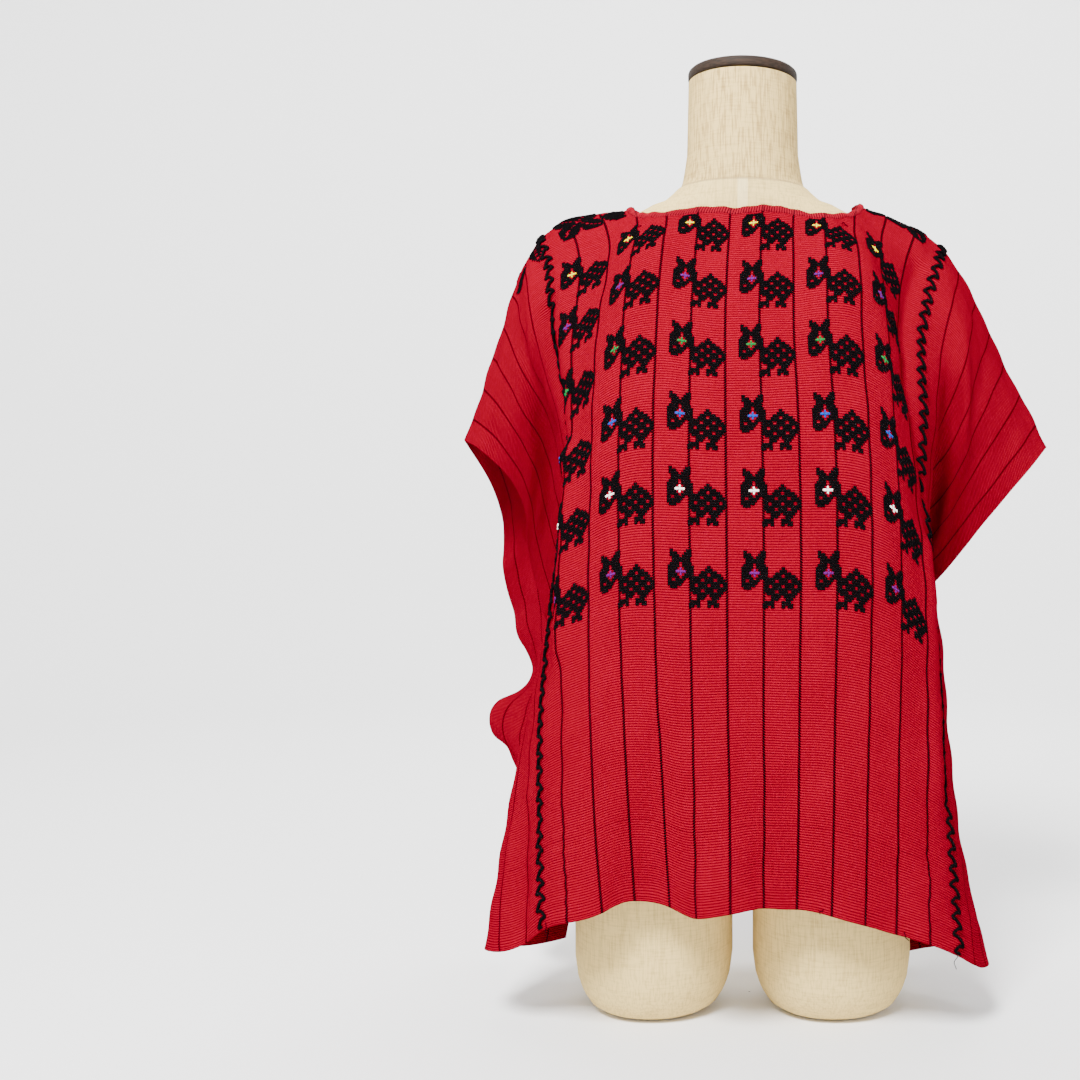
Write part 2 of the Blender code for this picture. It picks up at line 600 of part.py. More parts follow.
def center_over_origin():
    """Moves every piece alike, so that the middle of the part's box is over the origin."""
    bpy.context.view_layer.update()
    corners = np.array([thing.matrix_world @ Vector(corner)
                        for thing in blouse.objects for corner in thing.bound_box])
    middle = (corners.min(axis=0) + corners.max(axis=0)) / 2
    for thing in list(blouse.objects) + list(cutters.objects):
        thing.location.x -= middle[0]
        thing.location.y -= middle[1]


linen = material("linen", (0.70, 0.58, 0.43), 0.9)
crimson = material("crimson_cotton", (0.60, 0.01, 0.03), 0.9)
red_yarn = material("red_yarn", (0.62, 0.01, 0.03), 0.85)
dark = material("dark_cap", (0.05, 0.035, 0.028), 0.45)
dress_form(linen)
neck_cap(dark)
panel_center(crimson)
panel_side("panel_right", -1, crimson)
panel_side("panel_left", 1, crimson)
neck_binding(red_yarn)
center_over_origin()
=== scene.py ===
"""A crimson three-panel huipil, backstrap woven and brocaded, worn by a linen-covered dress form.

Metres, +Z up. The wearer's left is +X and the front is -Y. Places on the cloth are given flat,
as it left the loom: `across` from the middle warp and `along` from the shoulder fold, where
the front half is negative and the back half positive.
"""
import bpy
import numpy as np
from mathutils.kdtree import KDTree
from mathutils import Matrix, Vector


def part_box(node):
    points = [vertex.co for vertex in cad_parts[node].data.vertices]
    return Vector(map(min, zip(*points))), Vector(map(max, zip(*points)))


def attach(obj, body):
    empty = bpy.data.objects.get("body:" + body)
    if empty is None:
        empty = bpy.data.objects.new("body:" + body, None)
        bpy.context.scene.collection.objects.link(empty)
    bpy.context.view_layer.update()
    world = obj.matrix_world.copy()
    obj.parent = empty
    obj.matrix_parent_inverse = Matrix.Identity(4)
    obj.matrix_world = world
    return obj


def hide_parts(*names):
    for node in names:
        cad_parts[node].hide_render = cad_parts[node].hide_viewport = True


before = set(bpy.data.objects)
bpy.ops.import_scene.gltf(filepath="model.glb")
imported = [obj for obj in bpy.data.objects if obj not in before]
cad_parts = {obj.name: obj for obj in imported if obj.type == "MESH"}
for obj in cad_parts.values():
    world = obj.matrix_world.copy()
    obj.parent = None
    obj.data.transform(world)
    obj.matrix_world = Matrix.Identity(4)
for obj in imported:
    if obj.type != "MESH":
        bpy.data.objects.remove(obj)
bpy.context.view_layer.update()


# ---- Camera --------------------------------------------------------------------------------
# A portrait lens at waist height, level, straight in front of the form. The lens is shifted so
# that the form stands to the right of the middle, with its own width free at its right hand.
cap_low, cap_high = (np.array(corner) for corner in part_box("neck_cap"))
FORM_AXIS = (cap_low + cap_high)[:2] / 2
EYE_HEIGHT = 0.459
EYE_DISTANCE = 1.35

eye = bpy.data.cameras.new("eye")
eye.lens = 45
eye.sensor_width = 36
eye.shift_x = -0.1876
camera = bpy.data.objects.new("eye", eye)
camera.location = (FORM_AXIS[0], FORM_AXIS[1] - EYE_DISTANCE, EYE_HEIGHT)
camera.rotation_euler = (np.pi / 2, 0, 0)
bpy.context.scene.collection.objects.link(camera)
bpy.context.scene.camera = camera


# ---- Studio: floor and lights --------------------------------------------------------------
# A pale seamless bowl: a flat floor that sweeps up into a wall all round, under a white sky.
# A soft key stands in front of the form's right shoulder and a weak fill opposite; one light
# stands behind the form and one washes the wall.
def quads(rows, columns, closed=False):
    """Quads between neighbouring points of a grid; `closed` joins its last column to its first."""
    row, column = np.meshgrid(np.arange(rows - 1), np.arange(columns - (not closed)), indexing="ij")
    after = (column + 1) % columns
    corners = [row * columns + column, row * columns + after,
               (row + 1) * columns + after, (row + 1) * columns + column]
    return np.stack(corners, axis=-1).reshape(-1, 4)


def mesh_piece(name, points, faces, finish, uv=None):
    """A smooth mesh object from points and faces; `uv` holds a place for each face corner."""
    mesh = bpy.data.meshes.new(name)
    mesh.from_pydata(points.tolist(), [], faces if isinstance(faces, list) else faces.tolist())
    if uv is not None:
        layer = mesh.uv_layers.new(name="weave")
        layer.uv.foreach_set("vector", np.asarray(uv, dtype=np.float32).ravel())
    mesh.update()
    mesh.shade_smooth()
    mesh.materials.append(finish)
    made = bpy.data.objects.new(name, mesh)
    bpy.context.scene.collection.objects.link(made)
    return made


class Shade:
    """A shader socket that is used like a number: each operator adds its Math node."""

    def __init__(self, tree, socket=None):
        self.tree = tree
        self.socket = socket

    def node(self, kind, settings=None, inputs=None, output=0):
        """Any node: its settings first, then the values or links of its sockets."""
        made = self.tree.nodes.new(kind)
        for name, value in (settings or {}).items():
            setattr(made, name, value)
        for name, value in (inputs or {}).items():
            if isinstance(value, Shade):
                self.tree.links.new(value.socket, made.inputs[name])
            else:
                made.inputs[name].default_value = value
        return Shade(self.tree, made.outputs[output])

    def math(self, operation, *others):
        return self.node("ShaderNodeMath", {"operation": operation},
                         dict(enumerate((self, *others))))

    def __add__(self, other):
        return self.math("ADD", other)

    __radd__ = __add__

    def __sub__(self, other):
        return self.math("SUBTRACT", other)

    def __rsub__(self, other):
        return (self * -1.0).math("ADD", other)

    def __mul__(self, other):
        return self.math("MULTIPLY", other)

    __rmul__ = __mul__

    def __truediv__(self, other):
        return self.math("DIVIDE", other)

    def __abs__(self):
        return self.math("ABSOLUTE")

    def wave(self):
        """How high a row of round ridges stands, one ridge for each whole step: |sin(pi x)|."""
        return abs((self * np.pi).math("SINE"))

    def ramp(self, low, high):
        """0 up to `low`, 1 from `high` on, and smooth between."""
        return self.node("ShaderNodeMapRange", {"interpolation_type": "SMOOTHSTEP"},
                         {"Value": self, "From Min": low, "From Max": high})

    def blend(self, first, second):
        """The colour that is `first` where this is 0 and `second` where it is 1."""
        made = self.tree.nodes.new("ShaderNodeMix")
        made.data_type = "RGBA"
        self.tree.links.new(self.socket, made.inputs["Factor"])
        for place, value in ((6, first), (7, second)):
            if isinstance(value, Shade):
                self.tree.links.new(value.socket, made.inputs[place])
            else:
                made.inputs[place].default_value = (*value, 1)
        return Shade(self.tree, made.outputs[2])

    def axis(self, k):
        """The number at place k of this vector."""
        return self.node("ShaderNodeSeparateXYZ", {}, {0: self}, k)

    def noise(self, scale, detail, stretch=None):
        """Cloudy values round 0.5 over this vector, which `stretch` first makes denser by axis."""
        place = self
        if stretch:
            place = self.node("ShaderNodeVectorMath", {"operation": "MULTIPLY"}, {0: self, 1: stretch})
        return self.node("ShaderNodeTexNoise", {}, {"Vector": place, "Scale": scale, "Detail": detail})


def new_finish(name, roughness):
    """A material, its shader, and an empty Shade that starts expressions in its tree."""
    made = bpy.data.materials.new(name)
    made.use_nodes = True
    shader = made.node_tree.nodes["Principled BSDF"]
    shader.inputs["Roughness"].default_value = roughness
    return made, shader, Shade(made.node_tree)


def fill_finish(shader, color, height, strength, distance, shine):
    """Links a finish's colour and its relief, up to `distance` deep, and sets how it shines."""
    color.tree.links.new(color.socket, shader.inputs["Base Color"])
    relief = {"Height": height, "Strength": strength, "Distance": distance}
    bump = color.node("ShaderNodeBump", {}, relief)
    color.tree.links.new(bump.socket, shader.inputs["Normal"])
    shader.inputs["Specular IOR Level"].default_value = shine


def plain_finish(name, color, roughness):
    """One even colour, for the studio."""
    made, shader, _ = new_finish(name, roughness)
    shader.inputs["Base Color"].default_value = (*color, 1)
    return made


BOWL_FLOOR = 2.6
BOWL_BEND = 1.4
BOWL_TOP = 4.2
BOWL_RINGS = 24
BOWL_SIDES = 96
bend = np.linspace(0, np.pi / 2, BOWL_RINGS)
bowl_radius = np.concatenate([[0.001, 1.0], BOWL_FLOOR + BOWL_BEND * np.sin(bend),
                              [BOWL_FLOOR + BOWL_BEND]])
bowl_height = np.concatenate([[0, 0], BOWL_BEND * (1 - np.cos(bend)), [BOWL_TOP]])
turn = np.arange(BOWL_SIDES) * 2 * np.pi / BOWL_SIDES
bowl_points = np.stack([np.outer(bowl_radius, np.cos(turn)), np.outer(bowl_radius, np.sin(turn)),
                        np.outer(bowl_height, np.ones_like(turn))], axis=-1)
bowl = mesh_piece("studio_bowl", bowl_points.reshape(-1, 3),
                  quads(len(bowl_radius), BOWL_SIDES, closed=True),
                  plain_finish("studio_paper", (0.92, 0.92, 0.92), 0.9))

SKY_STRENGTH = 0.2

sky = bpy.data.worlds.new("sky")
sky.use_nodes = True
sky.node_tree.nodes["Background"].inputs["Color"].default_value = (1, 1, 1, 1)
sky.node_tree.nodes["Background"].inputs["Strength"].default_value = SKY_STRENGTH
bpy.context.scene.world = sky


def soft_light(name, place, target, size, power):
    """A square area light at `place` that faces `target`."""
    lamp = bpy.data.lights.new(name, "AREA")
    lamp.size = size
    lamp.energy = power
    made = bpy.data.objects.new(name, lamp)
    made.location = place
    away = np.array(place) - np.array(target)
    tilt = np.arccos(away[2] / np.linalg.norm(away))
    made.rotation_euler = (tilt, 0, np.arctan2(away[1], away[0]) + np.pi / 2)
    bpy.context.scene.collection.objects.link(made)


CHEST = (0, 0, 0.5)
soft_light("key", (-0.60, -1.9, 2.4), CHEST, 0.8, 262)
soft_light("fill", (1.2, -2.4, 0.9), CHEST, 1.4, 4)
soft_light("back", (0.4, 2.2, 1.9), CHEST, 1.8, 16)
soft_light("wall_wash", (0, 1.2, 3.2), (0, 4.0, 1.0), 2.4, 190)


# ---- Dress form ----------------------------------------------------------------------------
# A half-body display form with no head or limbs: a hard shell covered in natural linen, with a
# neck, and two short thigh stumps that it stands on. The cover is pieced, so a seam rings the
# neck's root and a raised seam band runs down the middle of the front, painted paler as its
# highlight. The neck's linen is painted darker than the body's, as shade.
NECK_TOP = 0.914
NECK_ROOT = 0.807
THIGH_OFFSET = 0.088
THIGH_TOP = 0.230
FORM_SIDES = 128
FORM_STEP = 0.004
FORM_GIRTH = 0.9
LINEN_THREAD = 0.00085
RAISED_BAND_HALF = 0.005
RAISED_BAND_FOOT = 0.605

FORM_COLUMNS = ("z", "half_width", "front", "back", "squareness")
TORSO_ROWS = (
    (0.130, 0.150, 0.086, 0.094, 2.6),     # under the crotch
    (0.150, 0.162, 0.096, 0.108, 2.6),
    (0.220, 0.168, 0.100, 0.120, 2.4),     # hips
    (0.300, 0.153, 0.098, 0.104, 2.3),
    (0.360, 0.132, 0.093, 0.084, 2.2),
    (0.420, 0.117, 0.090, 0.074, 2.2),     # waist
    (0.480, 0.121, 0.097, 0.080, 2.2),
    (0.535, 0.134, 0.118, 0.090, 2.2),
    (0.575, 0.142, 0.126, 0.097, 2.2),     # bust
    (0.640, 0.150, 0.104, 0.105, 2.3),
    (0.700, 0.172, 0.080, 0.098, 2.3),
    (0.735, 0.184, 0.064, 0.084, 2.3),     # shoulder tips
    (0.752, 0.178, 0.056, 0.074, 2.2),
    (0.768, 0.150, 0.053, 0.068, 2.1),
    (0.780, 0.116, 0.053, 0.064, 2.0),
    (0.792, 0.084, 0.053, 0.060, 2.0),
    (0.808, 0.061, 0.053, 0.056, 2.0),     # neck base
    (0.840, 0.0555, 0.0540, 0.0545, 2.0),
    (NECK_TOP, 0.0540, 0.0540, 0.0540, 2.0),
)
THIGH_ROWS = (
    (0.000, 0.048, 0.058, 0.058, 2.2),     # flat sole of the stump
    (0.002, 0.055, 0.065, 0.065, 2.2),
    (0.007, 0.0625, 0.0725, 0.0725, 2.2),
    (0.016, 0.070, 0.080, 0.080, 2.2),
    (0.030, 0.075, 0.085, 0.085, 2.2),
    (0.050, 0.078, 0.088, 0.088, 2.2),
    (0.130, 0.078, 0.090, 0.092, 2.2),
    (THIGH_TOP, 0.070, 0.084, 0.086, 2.2),
)


def columns(names, rows):
    """A table's columns as arrays, by name."""
    return dict(zip(names, np.array(rows, dtype=float).T))


def eased(values, reach):
    """Each value averaged with its neighbours, a few passes, ends kept."""
    for _ in range(reach):
        values = np.concatenate([values[:1], (values[:-2] + 2 * values[1:-1] + values[2:]) / 4,
                                 values[-1:]])
    return values


def linen_cover():
    """Natural linen: two sets of fine threads, here and there a thick slub, seams at the neck, a
    raised band down the front painted paler as its highlight, and painted shade on the neck.
    """
    made, shader, shade = new_finish("form_linen", 0.88)
    place = shade.node("ShaderNodeTexCoord", output=3)
    x, y, z = (place.axis(k) for k in range(3))
    round_form = shade.node("ShaderNodeUVMap", {"uv_map": "weave"}).axis(0)
    fuzz = place.noise(900.0, 2.0)
    drift = place.noise(9.0, 3.0)
    slub_up = place.noise(1.0, 2.0, (620.0, 620.0, 52.0))
    slub_level = place.noise(1.0, 2.0, (60.0, 60.0, 620.0))
    warps = (round_form / LINEN_THREAD).wave()
    wefts = (z / LINEN_THREAD).wave()
    threads = (warps + wefts) * 0.5
    on_neck = z.ramp(NECK_ROOT - 0.002, NECK_ROOT + 0.002)
    streaks = slub_level.ramp(0.46, 0.68) * 0.4 * (1 - on_neck * 0.5)
    streaks = slub_up.ramp(0.44, 0.64) * 0.6 + streaks
    off_middle = abs(x - float(FORM_AXIS[0]))
    # The raised seam band down the middle of the front: a real ridge in the relief, and painted paler
    # along it as its highlight.
    raised_band_and_highlight = 1 - off_middle.ramp(RAISED_BAND_HALF - 0.0005, RAISED_BAND_HALF + 0.0005)
    raised_band_and_highlight = raised_band_and_highlight * (1 - on_neck) * (1 - y.ramp(-0.03, -0.02))
    raised_band_and_highlight = raised_band_and_highlight * z.ramp(RAISED_BAND_FOOT - 0.005, RAISED_BAND_FOOT + 0.005)
    seam = 1 - abs(z - NECK_ROOT).ramp(0.0006, 0.0016)
    # The neck's linen is painted darker than the body's: painted shade, standing in for less light on
    # the same cloth. Its stronger slubs are the cloth's own.
    neck = (streaks * 1.1 + drift * 0.2).blend((0.64, 0.455, 0.170), (0.27, 0.165, 0.052))
    body = (streaks * 0.75 + drift * 0.15).blend((0.70, 0.515, 0.195), (0.42, 0.285, 0.100))
    linen = on_neck.blend(body, neck)
    linen = (threads * 0.20).blend(linen, (0.78, 0.60, 0.25))
    # Painted highlight: the raised seam band is painted paler.
    linen = (raised_band_and_highlight * 0.4).blend(linen, (0.84, 0.70, 0.40))
    linen = (seam * 0.5).blend(linen, (0.26, 0.18, 0.09))
    height = threads * 0.5 + streaks * 0.5 + fuzz * 0.25 + raised_band_and_highlight * 1.2 - seam * 2.0
    fill_finish(shader, linen, height, 0.35, 0.0004, 0.15)
    return made


def form_skin(name, rows, middle_x, ease, finish):
    """A closed loft: at height z, x and y follow |cos|^(2/p) and |sin|^(2/p) of the turn."""
    table = columns(FORM_COLUMNS, rows)
    z = np.concatenate([np.arange(table["z"][0], table["z"][-1], FORM_STEP), table["z"]])
    z = np.unique(z.round(5))
    width, front, back, power = (eased(np.interp(z, table["z"], table[n]), ease)[:, None]
                                 for n in FORM_COLUMNS[1:])
    angle = np.arange(FORM_SIDES) * 2 * np.pi / FORM_SIDES
    cos, sin = np.cos(angle)[None, :], np.sin(angle)[None, :]
    x = width * np.sign(cos) * np.abs(cos) ** (2 / power) + middle_x + FORM_AXIS[0]
    y = np.where(sin < 0, front, back) * np.sign(sin) * np.abs(sin) ** (2 / power) + FORM_AXIS[1]
    ring = np.stack([x, y, np.broadcast_to(z[:, None], x.shape)], axis=-1).reshape(-1, 3)
    sides = quads(len(z), FORM_SIDES, closed=True)
    faces = sides.tolist()
    faces.append(list(range(FORM_SIDES))[::-1])
    faces.append(list(range(len(ring) - FORM_SIDES, len(ring))))
    row, column = np.divmod(np.arange(len(sides)), FORM_SIDES)
    level = np.stack([z[row], z[row], z[row + 1], z[row + 1]], axis=-1)
    around = np.stack([column, column + 1, column + 1, column], axis=-1)
    around = around * (FORM_GIRTH / FORM_SIDES)
    uv = np.stack([around, level], axis=-1).reshape(-1, 2)
    ends = np.concatenate([ring[faces[-2], :2], ring[faces[-1], :2]])
    return mesh_piece(name, ring, faces, finish, np.concatenate([uv, ends]))


linen = linen_cover()
form = form_skin("form_cover", TORSO_ROWS, middle_x=0.0, ease=6, finish=linen)
for side in (-1, 1):
    stump = form_skin("stump", THIGH_ROWS, middle_x=side * THIGH_OFFSET, ease=2, finish=linen)
    bpy.context.view_layer.objects.active = form
    join = form.modifiers.new("join", "BOOLEAN")
    join.operation = "UNION"
    join.object = stump
    with bpy.context.temp_override(object=form, active_object=form, selected_objects=[form]):
        bpy.ops.object.modifier_apply(modifier="join")
    bpy.data.objects.remove(stump)
form.data.shade_smooth()
form.data.set_sharp_from_angle(angle=np.radians(40))
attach(form, "root")
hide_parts("dress_form")


# ---- Neck cap ------------------------------------------------------------------------------
# The turned wooden disc that closes the neck: stained almost black, its rim rounded over, and
# set a little proud of the linen, so that a dark line shows under it.
CAP_PROFILE = (
    (0.0480, 0.0000), (0.0530, 0.0004), (0.0541, 0.0014), (0.0545, 0.0030), (0.0545, 0.0068),
    (0.0540, 0.0084), (0.0528, 0.0095), (0.0505, 0.0100), (0.0400, 0.0102),
)
CAP_SIDES = 96


def dark_wood():
    """Dark stain that has gone dull, over a fine straight grain which is rougher in its streaks."""
    made, shader, shade = new_finish("cap_wood", 0.7)
    streak = shade.node("ShaderNodeTexCoord", output=3).noise(1.0, 4.0, (40.0, 400.0, 700.0))
    color = streak.ramp(0.35, 0.7).blend((0.012, 0.007, 0.004), (0.032, 0.018, 0.011))
    fill_finish(shader, color, streak, 0.25, 0.0003, 0.2)
    rough = streak * 0.2 + 0.6
    shade.tree.links.new(rough.socket, shader.inputs["Roughness"])
    return made


profile = np.array(CAP_PROFILE)
angle = np.arange(CAP_SIDES) * 2 * np.pi / CAP_SIDES
cap_points = np.stack([np.outer(profile[:, 0], np.cos(angle)) + FORM_AXIS[0],
                       np.outer(profile[:, 0], np.sin(angle)) + FORM_AXIS[1],
                       np.outer(profile[:, 1] + cap_low[2], np.ones(CAP_SIDES))], axis=-1)
cap_faces = quads(len(profile), CAP_SIDES, closed=True).tolist()
cap_faces.append(list(range(CAP_SIDES))[::-1])
cap_faces.append(list(range((len(profile) - 1) * CAP_SIDES, len(profile) * CAP_SIDES)))
cap = mesh_piece("neck_disc", cap_points.reshape(-1, 3), cap_faces, dark_wood())
cap.data.set_sharp_from_angle(angle=np.radians(35))
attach(cap, "root")
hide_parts("neck_cap")


# ---- Centre panel --------------------------------------------------------------------------
# The middle loom panel: crimson cotton, warp faced, with black warp stripes. It is one length
# folded over at the shoulders, its neck opening cut at the fold. The cloth is draped here as a
# net of threads that hangs from the fold, lies on the form and keeps its woven spacing.
STRIPE_PITCH = 0.034
CENTER_HALF = 6.5 * STRIPE_PITCH
SIDE_WIDTH = 0.225
DROP = 0.73
SEAM_GAP = 0.0004
NECK_HALF_WIDTH = 0.119
NECK_HALF_DEPTH = 0.072
NECK_CORNER = 0.042
BINDING_DEPTH = 0.008
CLEARANCE = 0.0030
YOKE_DOWN = 0.170

# Guide warps, by how far across the cloth each lies from the middle.
GUIDES = {"mid": 0.120, "seam": CENTER_HALF, "knee": 0.310, "edge": CENTER_HALF + SIDE_WIDTH}

# The shoulder fold seen from the front: how steeply it falls and how far it turns back, in
# degrees, on the wearer's right and left.
FOLD_TOP = 0.806
FOLD_COLUMNS = ("across", "right_dip", "left_dip", "right_turn", "left_turn")
FOLD_ROWS = (
    (0.000, 0, 0, 0, 0),
    (0.095, 6, 4, 0, 0),
    (0.117, 22, 22, 0, 0),
    (0.145, 22, 24, 0, 0),
    (0.155, 9, 24, 0, 0),
    (0.185, 9, 28, 0, 0),
    (0.200, 34, 32, 0, 0),
    (0.215, 42, 38, 0, 0),
    (0.240, 60, 58, 5, 0),
    (0.265, 68, 63, 15, 0),
    (0.446, 67, 64, 20, 0),
)

# Where the guide warps lie in plan at a length down from the fold: sideways distance from
# the middle, and depth forward of the shoulder line (front) or behind it (back).
DRAPE_COLUMNS = ("down", "center_y", "mid_x", "mid_y", "seam_x", "seam_y",
                 "knee_x", "knee_y", "edge_x", "edge_y")
FRONT_RIGHT = (
    (0.06, 0.055, 0.107, 0.050, 0.184, 0.045, 0.215, 0.048, 0.254, -0.010),
    (0.12, 0.088, 0.108, 0.080, 0.174, 0.064, 0.198, 0.035, 0.210, -0.020),
    (0.19, 0.112, 0.113, 0.104, 0.166, 0.072, 0.186, 0.008, 0.218, -0.045),
    (0.26, 0.130, 0.118, 0.122, 0.164, 0.070, 0.178, -0.010, 0.206, -0.070),
    (0.33, 0.139, 0.120, 0.129, 0.172, 0.072, 0.176, -0.010, 0.190, -0.070),
    (0.41, 0.143, 0.118, 0.132, 0.180, 0.078, 0.188, 0.004, 0.160, -0.060),
    (0.50, 0.144, 0.114, 0.133, 0.188, 0.090, 0.208, 0.018, 0.160, -0.040),
    (0.61, 0.143, 0.109, 0.133, 0.182, 0.104, 0.230, 0.040, 0.170, -0.045),
    (0.73, 0.141, 0.101, 0.132, 0.166, 0.118, 0.248, 0.070, 0.180, -0.030),
)
FRONT_LEFT = (
    (0.06, 0.055, 0.107, 0.050, 0.186, 0.045, 0.228, 0.050, 0.285, 0.030),
    (0.12, 0.088, 0.108, 0.080, 0.174, 0.064, 0.205, 0.055, 0.234, 0.026),
    (0.19, 0.112, 0.114, 0.104, 0.166, 0.072, 0.184, 0.040, 0.190, 0.000),
    (0.26, 0.130, 0.121, 0.122, 0.168, 0.077, 0.176, 0.010, 0.176, -0.040),
    (0.33, 0.139, 0.124, 0.129, 0.177, 0.080, 0.176, 0.000, 0.172, -0.060),
    (0.41, 0.143, 0.124, 0.132, 0.188, 0.084, 0.184, 0.000, 0.166, -0.060),
    (0.50, 0.144, 0.120, 0.133, 0.190, 0.090, 0.190, 0.006, 0.170, -0.050),
    (0.61, 0.143, 0.114, 0.133, 0.194, 0.102, 0.208, 0.020, 0.172, -0.050),
    (0.73, 0.141, 0.108, 0.131, 0.196, 0.120, 0.236, 0.046, 0.175, -0.040),
)
BACK_RIGHT = (
    (0.06, 0.057, 0.109, 0.053, 0.190, 0.050, 0.230, 0.062, 0.268, 0.100),
    (0.12, 0.091, 0.110, 0.086, 0.183, 0.078, 0.220, 0.092, 0.246, 0.125),
    (0.19, 0.110, 0.112, 0.108, 0.175, 0.100, 0.202, 0.096, 0.240, 0.112),
    (0.26, 0.118, 0.113, 0.121, 0.168, 0.114, 0.190, 0.100, 0.236, 0.126),
    (0.33, 0.120, 0.113, 0.124, 0.165, 0.118, 0.184, 0.096, 0.226, 0.122),
    (0.41, 0.121, 0.112, 0.125, 0.164, 0.120, 0.181, 0.090, 0.220, 0.110),
    (0.50, 0.124, 0.110, 0.127, 0.167, 0.124, 0.187, 0.080, 0.262, 0.135),
    (0.61, 0.130, 0.107, 0.133, 0.172, 0.130, 0.194, 0.074, 0.250, 0.162),
    (0.73, 0.138, 0.101, 0.139, 0.176, 0.135, 0.198, 0.078, 0.232, 0.158),
)
BACK_LEFT = (
    (0.06, 0.057, 0.109, 0.053, 0.192, 0.050, 0.238, 0.055, 0.292, 0.052),
    (0.12, 0.091, 0.110, 0.086, 0.183, 0.078, 0.218, 0.095, 0.248, 0.075),
    (0.19, 0.110, 0.112, 0.108, 0.174, 0.100, 0.202, 0.125, 0.212, 0.072),
    (0.26, 0.118, 0.113, 0.121, 0.168, 0.114, 0.196, 0.150, 0.192, 0.070),
    (0.33, 0.120, 0.113, 0.124, 0.165, 0.120, 0.192, 0.166, 0.184, 0.070),
    (0.41, 0.121, 0.112, 0.125, 0.165, 0.124, 0.192, 0.174, 0.182, 0.070),
    (0.50, 0.124, 0.110, 0.127, 0.168, 0.128, 0.194, 0.178, 0.184, 0.070),
    (0.61, 0.130, 0.107, 0.133, 0.172, 0.132, 0.198, 0.182, 0.188, 0.070),
    (0.73, 0.138, 0.101, 0.139, 0.176, 0.137, 0.202, 0.188, 0.190, 0.075),
)

# Soft vertical folds of the centre panel, growing to their full depth at the hem.
FOLD_WAVE_COLUMNS = ("half", "across", "width", "depth", "from_down")
FOLD_WAVES = (
    (-1, -0.196, 0.026, 0.008, 0.36),
    (-1, -0.092, 0.024, -0.014, 0.34),
    (-1, -0.030, 0.026, 0.009, 0.40),
    (-1, 0.040, 0.024, -0.008, 0.42),
    (-1, 0.098, 0.026, 0.009, 0.38),
    (-1, 0.152, 0.022, -0.011, 0.34),
    (1, -0.120, 0.028, 0.010, 0.36),
    (1, -0.055, 0.026, -0.010, 0.40),
    (1, 0.010, 0.028, 0.010, 0.38),
    (1, 0.075, 0.026, -0.010, 0.42),
    (1, 0.140, 0.028, 0.009, 0.36),
)

# The neck binding draws the cloth in: how much at the fold and below it, and how far down
# that dies out.
FOLD_GATHER = 0.08
GATHER = 0.13
GATHER_REACH = 0.10

# The share of its length that a side panel's outermost warp loses in small folds under the
# arm, too small to drape one by one, so that the hem does not dip.
EDGE_TAKE_UP = 0.16

# A warp falls by at least this share of its length.
LEAST_FALL = 0.25

# Where binding, seams and selvedges draw the warps up: front (-1), back (1) or both (0), middle
# and reach across, start and end down from the fold, and the share of length taken, below 0
# where the web is slack.
TAKE_UPS = (
    (0, -0.110, 0.045, 0.00, 0.08, 0.10),
    (0, -0.150, 0.060, 0.08, 0.24, 0.06),
    (0, -0.200, 0.050, 0.10, 0.43, 0.07),
    (0, -0.221, 0.045, 0.43, 0.73, 0.05),
    (-1, -0.070, 0.035, 0.30, 0.73, -0.035),
    (0, 0.110, 0.045, 0.00, 0.08, 0.10),
    (0, 0.150, 0.060, 0.08, 0.24, 0.03),
    (0, 0.190, 0.045, 0.10, 0.43, 0.03),
    (0, 0.221, 0.045, 0.43, 0.73, 0.05),
    (-1, 0.120, 0.050, 0.43, 0.73, -0.050),
    (-1, 0.050, 0.060, 0.30, 0.43, -0.035),
    (1, -0.446, 0.130, 0.10, 0.73, 0.12),
    (1, 0.446, 0.130, 0.10, 0.73, 0.10),
)

# How finely the drape is worked out, and how long its threads are evened.
THREADS_ACROSS = 65
THREADS_DOWN = 97
EVENING_PASSES = 260
EVENING_SHARE = 0.36          # how much of each correction one pass makes
LAYER_GAP = 0.009             # two layers of cloth stay this far apart
SAME_LAYER = 6 * LAYER_GAP    # threads nearer than this on the loom are of one layer
LAYER_PASSES = 50             # the last passes, in which they are parted
FOLD_CHORD = 0.93             # how far two or four threads apart may close up in a fold
IRONING = 0.05                # how strongly small creases are smoothed


def spline(at, knots, values):
    """Natural cubic spline through values (knots first), read at `at`."""
    knots = np.asarray(knots, dtype=float)
    values = np.asarray(values, dtype=float)
    step = np.diff(knots)
    count = len(knots)
    matrix = np.eye(count)
    slope = np.zeros_like(values)
    rise = np.diff(values, axis=0) / step.reshape((-1,) + (1,) * (values.ndim - 1))
    for i in range(1, count - 1):
        matrix[i, i - 1:i + 2] = step[i - 1], 2 * (step[i - 1] + step[i]), step[i]
        slope[i] = 6 * (rise[i] - rise[i - 1])
    bend = np.linalg.solve(matrix, slope.reshape(count, -1)).reshape(values.shape)
    at = np.asarray(at, dtype=float)
    left = np.clip(np.searchsorted(knots, at) - 1, 0, count - 2)
    tail = (1,) * (values.ndim - 1)
    h = step[left].reshape((-1,) + tail)
    a = ((knots[left + 1] - at) / step[left]).reshape((-1,) + tail)
    b = 1 - a
    return (a * values[left] + b * values[left + 1]
            + ((a ** 3 - a) * bend[left] + (b ** 3 - b) * bend[left + 1]) * h * h / 6)


def outside(points, rows, middle_x=0.0):
    """Below 0 inside the form's surface, 0 on it and above 0 outside, in units of its radius."""
    form = columns(FORM_COLUMNS, rows)
    x, y, z = points[..., 0] - middle_x, points[..., 1], points[..., 2]
    width = np.interp(z, form["z"], form["half_width"]) + CLEARANCE
    depth = np.where(y < 0, np.interp(z, form["z"], form["front"]),
                     np.interp(z, form["z"], form["back"])) + CLEARANCE
    power = np.interp(z, form["z"], form["squareness"])
    radius = (np.abs(x / width) ** power + np.abs(y / depth) ** power) ** (1 / power)
    above = (z - form["z"][-1]) / CLEARANCE
    return np.maximum(radius - 1, above)


